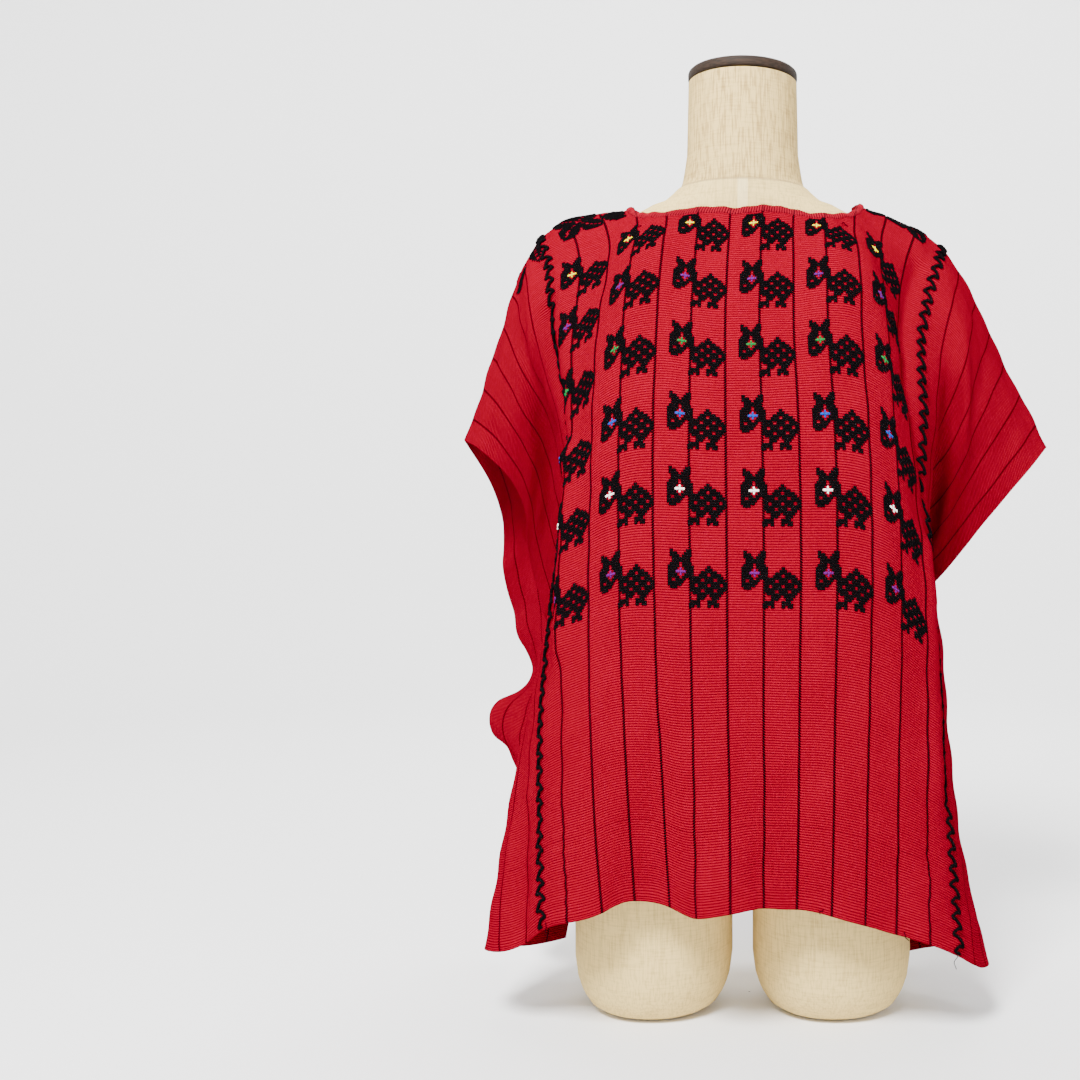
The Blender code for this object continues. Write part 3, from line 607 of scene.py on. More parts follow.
def push_out(points, rows, middle_x=0.0):
    """Points inside the form move out along its surface's own direction."""
    nudge = 1e-4
    here = outside(points, rows, middle_x)
    lean = np.stack([(outside(points + nudge * axis, rows, middle_x) - here) / nudge
                     for axis in np.eye(3)], axis=-1)
    size = np.maximum((lean ** 2).sum(axis=-1), 1.0)
    move = np.clip(-here, 0, None) / size
    return points + move[..., None] * lean


def fold_line(across, hand):
    """Sideways distance, distance back and height of the shoulder fold on one side."""
    fold = columns(FOLD_COLUMNS, FOLD_ROWS)
    fine = np.linspace(0, GUIDES["edge"], 600)
    dip = np.radians(np.interp(fine, fold["across"], fold[hand + "_dip"]))[1:]
    turn = np.radians(np.interp(fine, fold["across"], fold[hand + "_turn"]))[1:]
    step = np.diff(fine) * np.where(fine[1:] < NECK_HALF_WIDTH, 1 - FOLD_GATHER, 1)
    moves = (np.cos(turn) * np.cos(dip), np.sin(turn), -np.cos(turn) * np.sin(dip))
    line = [np.concatenate([[0], np.cumsum(move * step)]) for move in moves]
    line[2] += FOLD_TOP
    return [np.interp(across, fine, values) for values in line]


def warp_length(across, along):
    """How long each bit of a warp is, as a share of one in the centre panel, by rows."""
    beyond = (np.abs(across) - CENTER_HALF) / SIDE_WIDTH
    length = 1 - EDGE_TAKE_UP * np.clip(beyond, 0, 1) + np.zeros((len(along), 1))
    for half, at, width, start, end, share in TAKE_UPS:
        near = np.exp(-((across - at) / width) ** 2)
        rows = (np.abs(along) > start) & (np.abs(along) <= end) & (half * along >= 0)
        length = length - share * np.outer(rows, near)
    return length


def at_fold(reach, hand, toward):
    """The drape table's first row, on the shoulder fold itself."""
    row = [0.0, 0.0]
    sideways, back, _ = fold_line(reach, hand)
    for x, y in zip(sideways, back):
        row += [x, toward * y]
    return tuple(row)


def hang(across, down, right_rows, left_rows, toward):
    """The front (toward -1) or back (toward 1) half of the cloth, threads by rows: splines
    through the guide warps' places in plan, each soft fold d g^1.5 exp(-(x / width)^2) with its
    growth g from 0 to 1 at the hem, and a height that falls by sqrt(step^2 - moved^2)."""
    outer = ["mid", "seam", "knee", "edge"]
    reach = np.array([GUIDES[n] for n in outer])
    right = columns(DRAPE_COLUMNS, (at_fold(reach, "right", toward),) + right_rows)
    left = columns(DRAPE_COLUMNS, (at_fold(reach, "left", toward),) + left_rows)
    stations = np.concatenate([-reach[::-1], [0], reach])
    plan_x = [-right[n + "_x"] for n in reversed(outer)] + [0 * left["down"]]
    plan_x += [left[n + "_x"] for n in outer]
    plan_y = [right[n + "_y"] for n in reversed(outer)] + [left["center_y"]]
    plan_y += [left[n + "_y"] for n in outer]
    plan = np.stack([np.array(plan_x).T, toward * np.array(plan_y).T], axis=-1)
    by_row = np.stack([spline(down, right["down"], plan[:, :, k]) for k in (0, 1)], axis=-1)
    by_thread = spline(across, stations, by_row.transpose(1, 0, 2)).transpose(1, 0, 2)
    waves = columns(FOLD_WAVE_COLUMNS, FOLD_WAVES)
    for k in np.flatnonzero(waves["half"] == toward):
        grown = np.clip((down - waves["from_down"][k]) / (DROP - waves["from_down"][k]), 0, 1)
        bump = np.exp(-((across - waves["across"][k]) / waves["width"][k]) ** 2)
        by_thread[:, :, 1] += toward * waves["depth"][k] * np.outer(grown ** 1.5, bump)
    moved = (np.diff(by_thread, axis=0) ** 2).sum(axis=-1)
    step = np.diff(down)[:, None] * warp_length(across, toward * down[1:])
    fall = np.sqrt(np.maximum(step ** 2 - moved, (LEAST_FALL * step) ** 2))
    top = np.where(across < 0, fold_line(-across, "right")[2], fold_line(across, "left")[2])
    height = top - np.concatenate([np.zeros((1, len(across))), np.cumsum(fall, axis=0)])
    return np.concatenate([by_thread, height[..., None]], axis=-1)


def part_layers(points, across, down):
    """Pushes layers of cloth that come close to each other apart."""
    flat = np.stack(np.meshgrid(across, down), axis=-1).reshape(-1, 2)
    solid = points.reshape(-1, 3)
    tree = KDTree(len(solid))
    for i, place in enumerate(solid):
        tree.insert(place, i)
    tree.balance()
    moved = np.zeros_like(solid)
    for i in np.flatnonzero(np.abs(flat[:, 0]) > CENTER_HALF):
        for other, k, distance in tree.find_range(solid[i], LAYER_GAP):
            if np.abs(flat[i] - flat[k]).sum() > SAME_LAYER:
                moved[i] += 0.5 * (LAYER_GAP - distance) * (solid[i] - solid[k]) / distance
    return points + moved.reshape(points.shape)


def even_threads(points, across, down, held):
    """Brings neighbours on each thread back to their woven spacing and irons small creases."""
    near_neck = np.exp(-(down / GATHER_REACH) ** 2)
    middle = np.abs((across[1:] + across[:-1]) / 2) < NECK_HALF_WIDTH
    drawn_in = 1 - GATHER * np.outer(near_neck, middle)
    farther = np.where(down[1:] > 0, down[1:], down[:-1])
    spacing = (np.diff(down)[:, None] * warp_length(across, farther),
               (np.diff(across)[None, :] * drawn_in).T)
    for turn in range(EVENING_PASSES):
        moved = np.zeros_like(points)
        for net, change, rest in ((points, moved, spacing[0]),
                                  (points.swapaxes(0, 1), moved.swapaxes(0, 1), spacing[1])):
            for reach in (1, 2, 4):
                between = net[reach:] - net[:-reach]
                length = np.sqrt((between ** 2).sum(axis=-1))
                off = length - reach * rest[:len(length)]
                if reach > 1:
                    off = np.minimum(length - FOLD_CHORD * reach * rest[:len(length)], 0)
                pull = (0.5 * off / np.maximum(length, 1e-6))[..., None] * between
                change[:-reach] += pull
                change[reach:] -= pull
            change[1:-1] += IRONING * (net[2:] - 2 * net[1:-1] + net[:-2])
        points = points + EVENING_SHARE * moved * (1 - held)[..., None]
        points = push_out(points, TORSO_ROWS)
        for side in (-1, 1):
            points = push_out(points, THIGH_ROWS, side * THIGH_OFFSET)
        if turn >= EVENING_PASSES - LAYER_PASSES:
            points = part_layers(points, across, down)
    return points


def drape():
    """The whole cloth as one net of threads, from the front hem over the fold to the back."""
    across = np.linspace(-GUIDES["edge"], GUIDES["edge"], THREADS_ACROSS)
    down = np.linspace(0, DROP, THREADS_DOWN // 2 + 1)
    front = hang(across, down, FRONT_RIGHT, FRONT_LEFT, -1)
    back = hang(across, down, BACK_RIGHT, BACK_LEFT, 1)
    net = np.concatenate([front[::-1], back[1:]])
    along = np.concatenate([-down[::-1], down[1:]])
    held = np.zeros(net.shape[:2])
    fold_row = len(down) - 1
    held[fold_row] = 1
    net = even_threads(net, across, along, held)
    return across, along, net


ACROSS, ALONG, NET = drape()
NET = NET + (*FORM_AXIS, 0.0)

# The binding holds the fold down where it crosses it at each side of the neck.
HELD_DOWN = 0.008
HELD_ACROSS = 0.020
HELD_ALONG = 0.014
held = np.exp(-((np.abs(ACROSS) - NECK_HALF_WIDTH) / HELD_ACROSS) ** 2)
NET[:, :, 2] -= HELD_DOWN * np.outer(np.exp(-(ALONG / HELD_ALONG) ** 2), held)


def on_cloth(across, along):
    """Points of the middle of the cloth at flat places, by a cubic through four threads each way."""
    u = (np.asarray(across) - ACROSS[0]) / (ACROSS[1] - ACROSS[0])
    v = (np.asarray(along) - ALONG[0]) / (ALONG[1] - ALONG[0])
    i = np.clip(np.floor(u).astype(int), 0, len(ACROSS) - 2)
    j = np.clip(np.floor(v).astype(int), 0, len(ALONG) - 2)

    def weights(t):
        return (-0.5 * t + t ** 2 - 0.5 * t ** 3, 1 - 2.5 * t ** 2 + 1.5 * t ** 3,
                0.5 * t + 2 * t ** 2 - 1.5 * t ** 3, -0.5 * t ** 2 + 0.5 * t ** 3)

    total = 0
    for b, row_weight in enumerate(weights(v - j)):
        for a, weight in enumerate(weights(u - i)):
            column = np.clip(i + a - 1, 0, len(ACROSS) - 1)
            row = np.clip(j + b - 1, 0, len(ALONG) - 1)
            total = total + (row_weight * weight)[..., None] * NET[row, column]
    return total


# Creases: where the line of each starts and ends on the flat web, across and along, then its
# height, below 0 for a trough, and its half width.
CREASES = (
    (-0.228, -0.095, -0.224, -0.320, -0.0080, 0.010),
    (-0.200, -0.150, -0.192, -0.300, 0.0045, 0.012),
    (-0.190, -0.270, -0.186, -0.500, 0.0090, 0.015),
    (-0.232, -0.030, -0.262, -0.120, 0.0035, 0.014),
    (-0.300, -0.060, -0.345, -0.120, 0.0020, 0.016),
    (0.203, -0.045, 0.195, -0.215, -0.0070, 0.011),
    (0.195, -0.215, 0.222, -0.300, -0.0060, 0.012),
    (0.246, -0.070, 0.330, -0.140, 0.0035, 0.015),
    (0.262, -0.030, 0.340, -0.075, -0.0020, 0.013),
    (0.199, -0.330, 0.202, -0.610, 0.0060, 0.013),
    (0.230, -0.330, 0.230, -0.610, -0.0050, 0.011),
    (-0.250, -0.590, -0.256, -0.730, -0.0028, 0.009),
    (-0.274, -0.600, -0.286, -0.730, 0.0028, 0.010),
    (0.150, -0.652, 0.205, -0.688, 0.0024, 0.006),
    (0.160, -0.636, 0.218, -0.664, -0.0022, 0.006),
    (0.170, -0.690, 0.214, -0.712, -0.0020, 0.006),
    (-0.020, -0.580, -0.028, -0.730, 0.0022, 0.012),
    (0.045, -0.600, 0.052, -0.730, -0.0022, 0.013),
    (-0.085, -0.560, -0.098, -0.730, -0.0025, 0.013),
)


def creases(across, along):
    """Heights of the creases: each is h exp(-(d / width)^2) at d from the inner 80% of its line."""
    total = np.zeros(np.broadcast(across, along).shape)
    for x0, y0, x1, y1, height, width in CREASES:
        run_x, run_y = x1 - x0, y1 - y0
        share = ((across - x0) * run_x + (along - y0) * run_y) / (run_x ** 2 + run_y ** 2)
        share = np.clip(share, 0.1, 0.9)
        away = np.hypot(across - x0 - share * run_x, along - y0 - share * run_y)
        total += height * np.exp(-(away / width) ** 2)
    return total


RANDA_PERIOD = 0.015
PUCKER = 0.0007
PUCKER_REACH = 0.011
GATHER_HEIGHT = 0.0007
GATHERS_ROUND = 38
CRUMPLE = 0.0010
CRUMPLE_FROM = 0.58           # how far down it starts, over what length it grows to its full
CRUMPLE_GROWS = 0.10          # height, and its middle and reach across
CRUMPLE_ACROSS = 0.195
CRUMPLE_REACH = 0.035
SLOW_WAVES = 0.0008


def ripples(across, along):
    """How far the cloth stands off its main drape: the creases, a sine wave of puckers where the
    randa draws the seams in, gathers round the neck, small wrinkles where the seams pull the
    front hem up, and the slow waves of a hand-woven web."""
    pucker = np.exp(-((np.abs(across) - CENTER_HALF) / PUCKER_REACH) ** 2)
    pucker = PUCKER * pucker * np.sin(2 * np.pi * along / RANDA_PERIOD)
    beyond = np.hypot(np.clip(np.abs(across) - NECK_HALF_WIDTH, 0, None),
                      np.clip(np.abs(along) - NECK_HALF_DEPTH, 0, None))
    round_neck = np.arctan2(along / NECK_HALF_DEPTH, across / NECK_HALF_WIDTH)
    gathers = np.sin(GATHERS_ROUND * round_neck + np.sin(5 * round_neck))
    gathers = GATHER_HEIGHT * np.exp(-beyond / 0.020) * gathers
    slow = (np.sin(61 * across + 37 * along + 1.3) * np.sin(83 * along - 29 * across)
            + np.sin(117 * across - 45 * along + 0.6) * np.sin(69 * along + 51 * across + 2.1))
    low = np.clip((-along - CRUMPLE_FROM) / CRUMPLE_GROWS, 0, 1)
    low = low * np.exp(-((np.abs(across) - CRUMPLE_ACROSS) / CRUMPLE_REACH) ** 2)
    crumple = CRUMPLE * low * np.sin(430 * along + 60 * across + 2.2 * np.sin(41 * across))
    return creases(across, along) + pucker + gathers + crumple + SLOW_WAVES * slow


def cloth_frame(across, along, lift=0.0):
    """Places that stand `lift` off the middle of the rippled cloth, and the way it faces."""
    across, along = np.asarray(across, dtype=float), np.asarray(along, dtype=float)
    step = 0.003
    weft = on_cloth(across + step, along) - on_cloth(across - step, along)
    warp = on_cloth(across, along + step) - on_cloth(across, along - step)
    facing = np.cross(weft, warp)
    facing /= np.linalg.norm(facing, axis=-1, keepdims=True)
    height = np.asarray(ripples(across, along) + lift)
    return on_cloth(across, along) + height[..., None] * facing, facing


CLOTH_THICK = 0.0012


def cloth_wall(name, across, along, faces, finish):
    """A closed wall of cloth: outer skin, inner skin and the rim between them. The mesh keeps
    each corner's place on the loom in the UV map `weave`."""
    count = len(across)
    outer, facing = cloth_frame(across, along, CLOTH_THICK / 2)
    inner = outer - CLOTH_THICK * facing
    start, end = faces.ravel(), np.roll(faces, -1, axis=1).ravel()
    lone = ~np.isin(start * count + end, end * count + start)
    start, end = start[lone], end[lone]
    rim = np.stack([end, start, start + count, end + count], axis=-1)
    faces = np.concatenate([faces, faces[:, ::-1] + count, rim])
    flat = np.stack([across, along], axis=-1)
    made = mesh_piece(name, np.concatenate([outer, inner]), faces, finish, flat[faces % count])
    made.data.set_sharp_from_angle(angle=np.radians(60))
    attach(made, "root")
    return made


def frame_points(width, depth, count_across, count_along):
    """Points round a rectangle, starting at its right front corner and going leftward."""
    along_front = np.linspace(-width, width, count_across + 1)[:-1]
    along_side = np.linspace(-depth, depth, count_along + 1)[:-1]
    across = np.concatenate([along_front, np.full(count_along, width), -along_front,
                             np.full(count_along, -width)])
    along = np.concatenate([np.full(count_across, -depth), along_side,
                            np.full(count_across, depth), -along_side])
    return across, along


def rounded_neck(margin, count_across, count_along):
    """The neck outline `margin` outside the bare opening: the points round a rectangle, each
    one that lies past a corner's arc drawn in onto it."""
    width = NECK_HALF_WIDTH + margin
    depth = NECK_HALF_DEPTH + margin
    corner = NECK_CORNER + margin
    across, along = frame_points(width, depth, count_across, count_along)
    past_x = np.clip(np.abs(across) - (width - corner), 0, None)
    past_y = np.clip(np.abs(along) - (depth - corner), 0, None)
    size = np.hypot(past_x, past_y)
    shrink = np.where(size > corner, corner / np.maximum(size, 1e-9), 1)
    across = np.sign(across) * (np.abs(across) - past_x * (1 - shrink))
    along = np.sign(along) * (np.abs(along) - past_y * (1 - shrink))
    return across, along


WEFT_PITCH = 0.00233
WARP_PITCH = 0.00105
SIDE_PITCH = 0.0345           # from one black stripe to the next in a side panel
SIDE_FIRST = 0.249            # the side panel's first stripe, from the middle of the blouse
CENTER_LAST = 5.0             # the centre panel's last stripe, counted from 0 out from the middle
CORD_HALF = 0.00118           # half the width of a black stripe
CORD_SLANT = 0.0018           # how far across it leans over one weft
CORD_WAIST = 0.00045          # what it loses at each side between two beads
SIDE_CORD_LESS = 0.00035      # what it loses at each side in the side panels
CORD_EDGE = 0.0001
JOIN_DOWN = 0.655             # a faint level line on the front, where the weft was pieced


def striped_cotton():
    """Crimson warps packed over the weft, so that each weft shows as a level rib of small beads,
    and single black warp cords at even steps, each a chain of slanting beads. The dye has taken
    unevenly from warp to warp. The ribs' crowns carry a painted highlight, and the grooves between
    the ribs and between the beads are darkened as painted shade."""
    made, shader, shade = new_finish("huipil_cotton", 0.85)
    flat = shade.node("ShaderNodeUVMap", {"uv_map": "weave"})
    across, along = flat.axis(0), flat.axis(1)
    rib = along / WEFT_PITCH
    row = rib.math("FLOOR")
    crown = rib.wave()
    bead = (across / WARP_PITCH + row * 0.5).wave()
    wide = abs(across)
    in_center = (wide - STRIPE_PITCH / 2) / STRIPE_PITCH
    in_side = (wide - SIDE_FIRST) / SIDE_PITCH
    beyond_seam = wide.math("GREATER_THAN", CENTER_HALF)
    within = rib - row - 0.5
    near_center = (in_center - in_center.math("ROUND").math("MINIMUM", CENTER_LAST)) * STRIPE_PITCH
    near_side = (in_side - in_side.math("ROUND").math("MAXIMUM", 0.0)) * SIDE_PITCH
    offset = near_center + (near_side - near_center) * beyond_seam
    away = abs(offset + within * CORD_SLANT)
    narrow = (1 - crown) * CORD_WAIST + beyond_seam * SIDE_CORD_LESS
    stripe = 1 - (away + narrow).ramp(CORD_HALF - CORD_EDGE, CORD_HALF + CORD_EDGE)
    tone = flat.noise(1.0, 2.0, (900.0, 14.0, 1.0))
    patch = flat.noise(11.0, 3.0)
    fleck = flat.noise(700.0, 1.0)
    dash = flat.noise(1.0, 2.0, (210.0, 430.0, 1.0))
    joined = 1 - abs(along + JOIN_DOWN).ramp(0.0006, 0.0016)
    height = crown * (0.65 + dash * 0.5) + bead * crown * 0.35 + fleck * 0.25 - joined * 0.3
    red = tone.blend((0.190, 0.0, 0.0070), (0.262, 0.0, 0.0130))
    red = (patch.ramp(0.35, 0.75) * 0.45).blend(red, (0.190, 0.0, 0.0080))
    # Painted shade: the grooves between the ribs are darkened.
    red = ((1 - crown.ramp(0.05, 0.80)) * (0.38 + dash * 0.6)).blend(red, (0.045, 0.0, 0.0022))
    # Painted shade between the beads along each rib.
    red = ((1 - bead.ramp(0.1, 0.7)) * 0.42).blend(red, (0.095, 0.0, 0.0042))
    # Painted highlight on the ribs' crowns, strongest where the dashes and beads stand.
    red = (crown.ramp(0.75, 1.0) * dash.ramp(0.42, 0.68) * (0.15 + bead * 0.55)).blend(
        red, (0.330, 0.0002, 0.026))
    red = (joined * 0.12).blend(red, (0.060, 0.0, 0.0030))
    color = stripe.blend(red, (0.0022, 0.0014, 0.0018))
    fill_finish(shader, color, height + stripe * crown * 0.8, 0.85, 0.0008, 0.0)
    return made


CENTER_CELLS = 96
YOKE_CELLS = 74
NECK_RINGS = 26
ROWS_BELOW = 122

half = CENTER_HALF - SEAM_GAP / 2
inner = np.stack(rounded_neck(BINDING_DEPTH + SEAM_GAP / 2, CENTER_CELLS, YOKE_CELLS))
outer = np.stack(frame_points(half, YOKE_DOWN, CENTER_CELLS, YOKE_CELLS))
count = inner.shape[1]
flat = [inner + (outer - inner) * t for t in np.linspace(0, 1, NECK_RINGS + 1)]
center_faces = [quads(NECK_RINGS + 1, count, closed=True)]
line = np.linspace(-half, half, CENTER_CELLS + 1)
last_ring = NECK_RINGS * count
below_yoke = np.linspace(YOKE_DOWN, DROP, ROWS_BELOW + 1)[1:]
size = (NECK_RINGS + 1) * count
for toward, first in ((-1, last_ring), (1, last_ring + CENTER_CELLS + YOKE_CELLS)):
    rows = np.arange(size, size + ROWS_BELOW * (CENTER_CELLS + 1)).reshape(ROWS_BELOW, -1)
    rows = np.concatenate([np.arange(first, first + CENTER_CELLS + 1)[None, :], rows])
    cells = [rows[:-1, :-1], rows[:-1, 1:], rows[1:, 1:], rows[1:, :-1]]
    center_faces.append(np.stack(cells, axis=-1).reshape(-1, 4))
    grid = np.meshgrid(-toward * line, toward * below_yoke)
    flat.append(np.stack([g.ravel() for g in grid]))
    size += ROWS_BELOW * (CENTER_CELLS + 1)
flat = np.concatenate(flat, axis=1)
cotton = striped_cotton()
center = cloth_wall("center_cloth", flat[0], flat[1],
                    np.concatenate(center_faces)[:, ::-1], cotton)
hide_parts("panel_center")


# ---- Side panels ---------------------------------------------------------------------------
# The two outer loom panels, narrower, of the same striped web. Each falls over the shoulder as
# a sleeve and hangs open down the side, with no seam under the arm; its outer edge is a selvedge.
SIDE_CELLS = 50

for node, name, toward in (("panel_right", "right_cloth", -1), ("panel_left", "left_cloth", 1)):
    across = toward * np.linspace(CENTER_HALF + SEAM_GAP / 2, CENTER_HALF + SIDE_WIDTH, SIDE_CELLS + 1)
    along = np.concatenate([-below_yoke[::-1], np.linspace(-YOKE_DOWN, YOKE_DOWN, YOKE_CELLS + 1),
                            below_yoke])
    grid = np.meshgrid(np.sort(across), along)
    cloth_wall(name, grid[0].ravel(), grid[1].ravel(),
                             quads(len(along), SIDE_CELLS + 1), cotton)
    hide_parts(node)


# ---- Neck binding --------------------------------------------------------------------------
# The cut neck edge is whipped over with doubled crimson yarn, close stitches 8 mm deep that lie
# side by side and lean a little, and draw the cloth in.
STITCH_PITCH = 0.0027
STITCH_RINGS = 6
STITCH_LEAN = 0.30            # in pitches, from its middle to its outer side
STITCH_HEIGHT = 0.0022
STITCH_WAIST = 0.64           # its thickness between stitches, and what it gains at their crowns
STITCH_SWELL = 0.48
BINDING_SIDES = 14
LOOP_POINTS = (480, 300)      # across and along each side of the opening
NECK_LAST = 3.0               # the last stripe that the opening cuts, counted as CENTER_LAST is


def whipped_yarn():
    """Crimson yarn, with painted shade between the stitches, and black where a black warp comes
    through.
    """
    made, shader, shade = new_finish("binding_yarn", 0.8)
    flat = shade.node("ShaderNodeUVMap", {"uv_map": "weave"})
    stitch, across = flat.axis(0), flat.axis(1)
    crown = stitch.wave()
    fuzz = shade.node("ShaderNodeTexCoord", output=3).noise(800.0, 2.0)
    steps = (abs(across) - STRIPE_PITCH / 2) / STRIPE_PITCH
    away = abs(steps - steps.math("ROUND").math("MINIMUM", NECK_LAST)) * STRIPE_PITCH
    dark = 1 - away.ramp(0.0008, 0.0014)
    red = fuzz.blend((0.150, 0.0, 0.0060), (0.270, 0.0004, 0.0150))
    # Painted shade: darker between the stitches.
    red = ((1 - crown.ramp(0.15, 0.85)) * 0.9).blend(red, (0.022, 0.0, 0.0012))
    color = (dark * 0.45).blend(red, (0.0060, 0.0030, 0.0040))
    fill_finish(shader, color, fuzz, 0.4, 0.0004, 0.05)
    return made


def neck_loop(margin, share):
    """Places round the neck, `margin` outside the opening, at shares of the way round the
    binding's middle line, and that line's whole length."""
    dense = np.stack(rounded_neck(margin, *LOOP_POINTS))
    middle = np.stack(rounded_neck(BINDING_DEPTH / 2, *LOOP_POINTS))
    dense, middle = (np.concatenate([d, d[:, :1]], axis=1) for d in (dense, middle))
    run = np.concatenate([[0], np.cumsum(np.hypot(*np.diff(middle, axis=1)))])
    return (np.interp(share, run / run[-1], dense[0]), np.interp(share, run / run[-1], dense[1]),
            run[-1])


# The section is a flat oval that turns with `angle`. Round the neck it swells by |sin(pi n)| at
# each stitch n, and n leans forward on the outer side.
stitches = round(neck_loop(BINDING_DEPTH / 2, 0.0)[2] / STITCH_PITCH)
rings = stitches * STITCH_RINGS
ring = np.arange(rings)
uneven = 1 + 0.05 * np.sin(ring * 0.37) * np.sin(ring * 0.083 + 1)
edge, foot = (np.stack(neck_loop(margin, ring / rings)[:2]) for margin in (0.0, BINDING_DEPTH))
points, marks = [], []
for k in range(BINDING_SIDES):
    angle = 2 * np.pi * k / BINDING_SIDES
    lean = ring / STITCH_RINGS + STITCH_LEAN * np.cos(angle)
    swell = STITCH_WAIST + STITCH_SWELL * np.abs(np.sin(np.pi * lean))
    depth = BINDING_DEPTH / 2 * (1 + np.cos(angle) * (0.90 + 0.14 * swell) * uneven)
    place = edge + (foot - edge) * (depth / BINDING_DEPTH)
    points.append(cloth_frame(place[0], place[1], STITCH_HEIGHT * np.sin(angle) * swell)[0])
    marks.append(np.stack([lean, place[0]], axis=-1))
points = np.stack(points, axis=1).reshape(-1, 3)
marks = np.stack(marks, axis=1)
faces = quads(rings, BINDING_SIDES, closed=True)
last = np.arange(BINDING_SIDES)
after = (last + 1) % BINDING_SIDES
closing = np.stack([(rings - 1) * BINDING_SIDES + last, (rings - 1) * BINDING_SIDES + after,
                    after, last], axis=-1)
faces = np.concatenate([faces, closing])
corner_marks = marks.reshape(-1, 2)[faces]
corner_marks[-BINDING_SIDES:, 2:, 0] += stitches
binding = mesh_piece("neck_stitches", points, faces, whipped_yarn(), corner_marks)
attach(binding, "root")
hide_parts("neck_binding")


# ---- Woven animals, front and back ---------------------------------------------------------
# Six rows of beasts in six columns, laid in by hand on the loom as extra black weft that floats
# over two warp groups at a time and packs close. Each stands with its shoulder on one black
# warp and its rump near the next, and its eye is a cross of another colour.

# One row for each weft rib: black weft is '#', the eye 'o', a dot where the ground shows ':',
# and open ground '.'.
BEAST_CHART = (
    ".##......###.................",
    ".####...####.................",
    ".#####.#####.................",
    "..#########..................",
    "..#########..................",
    ".#####.#####.................",
    "######.######......##........",
    "#####.o.#####.....####.......",
    "####ooooo####...########.....",
    "#####.o.#####..####::#####...",
    "######.####################..",
    "##::#####..#####::####::####.",
    "########...##################",
    "#######....##::####::####::##",
    ".####......##################",
    "...........#####::####::####.",
    "............###############..",
    "..............#####.######...",
    "..............####...####....",
    "...........#####...#####.....",
    "..........######...######....",
    "..........###.##...##.###....",
)
# How far, in cells, a float reaches past its stretch of the chart: over open ground, into a dot
# and to a petal's vein.
CLOTH_LAP = 0.16
END_LAPS = {":": 0.52, "|": 0.0}
CELL = 0.00193
SHOULDER_CELL = 10.93         # the cell that lies on the black warp
BEAST_COLUMNS = 6
FIRST_STRIPE = -5.5           # the first beast's black warp, in stripes from the middle
FEET_DOWN = (0.1242, 0.1857, 0.2527, 0.3207, 0.3874, 0.4597)
EYE_DYES = ((0.66, 0.56, 0.005), (0.085, 0.012, 0.135), (0.003, 0.145, 0.032),
            (0.0005, 0.050, 0.320), (0.90, 0.86, 0.78), (0.090, 0.008, 0.120))


def float_runs(chart, mark):
    """Floats of a chart as (start cell, end cell, row, sunk at its start, sunk at its end). A
    row's stretches of `mark` are cut every second cell, by turns from row to row, where a warp
    ties them down and the next float laps over; they reach well into the dots marked ':'."""
    found = []
    for r, row in enumerate(chart):
        start = None
        for c in range(len(row) + 1):
            inside = c < len(row) and row[c] == mark
            if start is not None and (not inside or (c + r) % 2 == 0):
                before = row[start - 1] if start else "."
                after = row[c] if c < len(row) else "."
                found.append((start - END_LAPS.get(before, CLOTH_LAP),
                              c + END_LAPS.get(after, CLOTH_LAP), r, before != mark, not inside))
                start = None
            if inside and start is None:
                start = c
    return found


def yarn(name, dark):
    """Soft dull yarn with a fuzz of loose fibres: black, or as its mesh's attribute `dye` says."""
    made, shader, shade = new_finish(name, 0.8)
    fuzz = shade.node("ShaderNodeTexCoord", output=3).noise(950.0, 2.0)
    if dark:
        color = fuzz.blend((0.0014, 0.0011, 0.0013), (0.0052, 0.0042, 0.0049))
    else:
        color = shade.node("ShaderNodeAttribute", {"attribute_name": "dye"})
    fill_finish(shader, color, fuzz, 0.2, 0.0003, 0.0)
    return made


BINDING_CLEAR = 0.0012


def outside_binding(across, along):
    """True where a flat place lies clear of the neck opening and its binding: farther than
    `reach` from the rounded rectangle of the opening."""
    reach = BINDING_DEPTH + BINDING_CLEAR
    past_x = np.abs(across) - (NECK_HALF_WIDTH - NECK_CORNER)
    past_y = np.abs(along) - (NECK_HALF_DEPTH - NECK_CORNER)
    size = np.hypot(np.clip(past_x, 0, None), np.clip(past_y, 0, None))
    return np.maximum(size, np.maximum(past_x, past_y)) > NECK_CORNER + reach


# A float is one closed bead with a tip at each end and three rings. Half its height along the
# warps and its rise off the cloth's middle, in mm, at its end rings and at its middle one; what
# an end that goes to the back loses of both; half its thickness; how high a tip lies, and how
# much lower one that goes to the back. Then the tip's length in metres.
END_TALL, MIDDLE_TALL = 1.20, 1.30
END_RISE, MIDDLE_RISE = 0.92, 1.12
END_LOSS = 0.22
HALF_THICK = 0.55
TIP_RISE, TIP_SINK = 0.8, 1.1
TIP_LENGTH = 0.0006
BEAD_SIDES = 5
BEAD_POINTS = 3 * BEAD_SIDES + 2


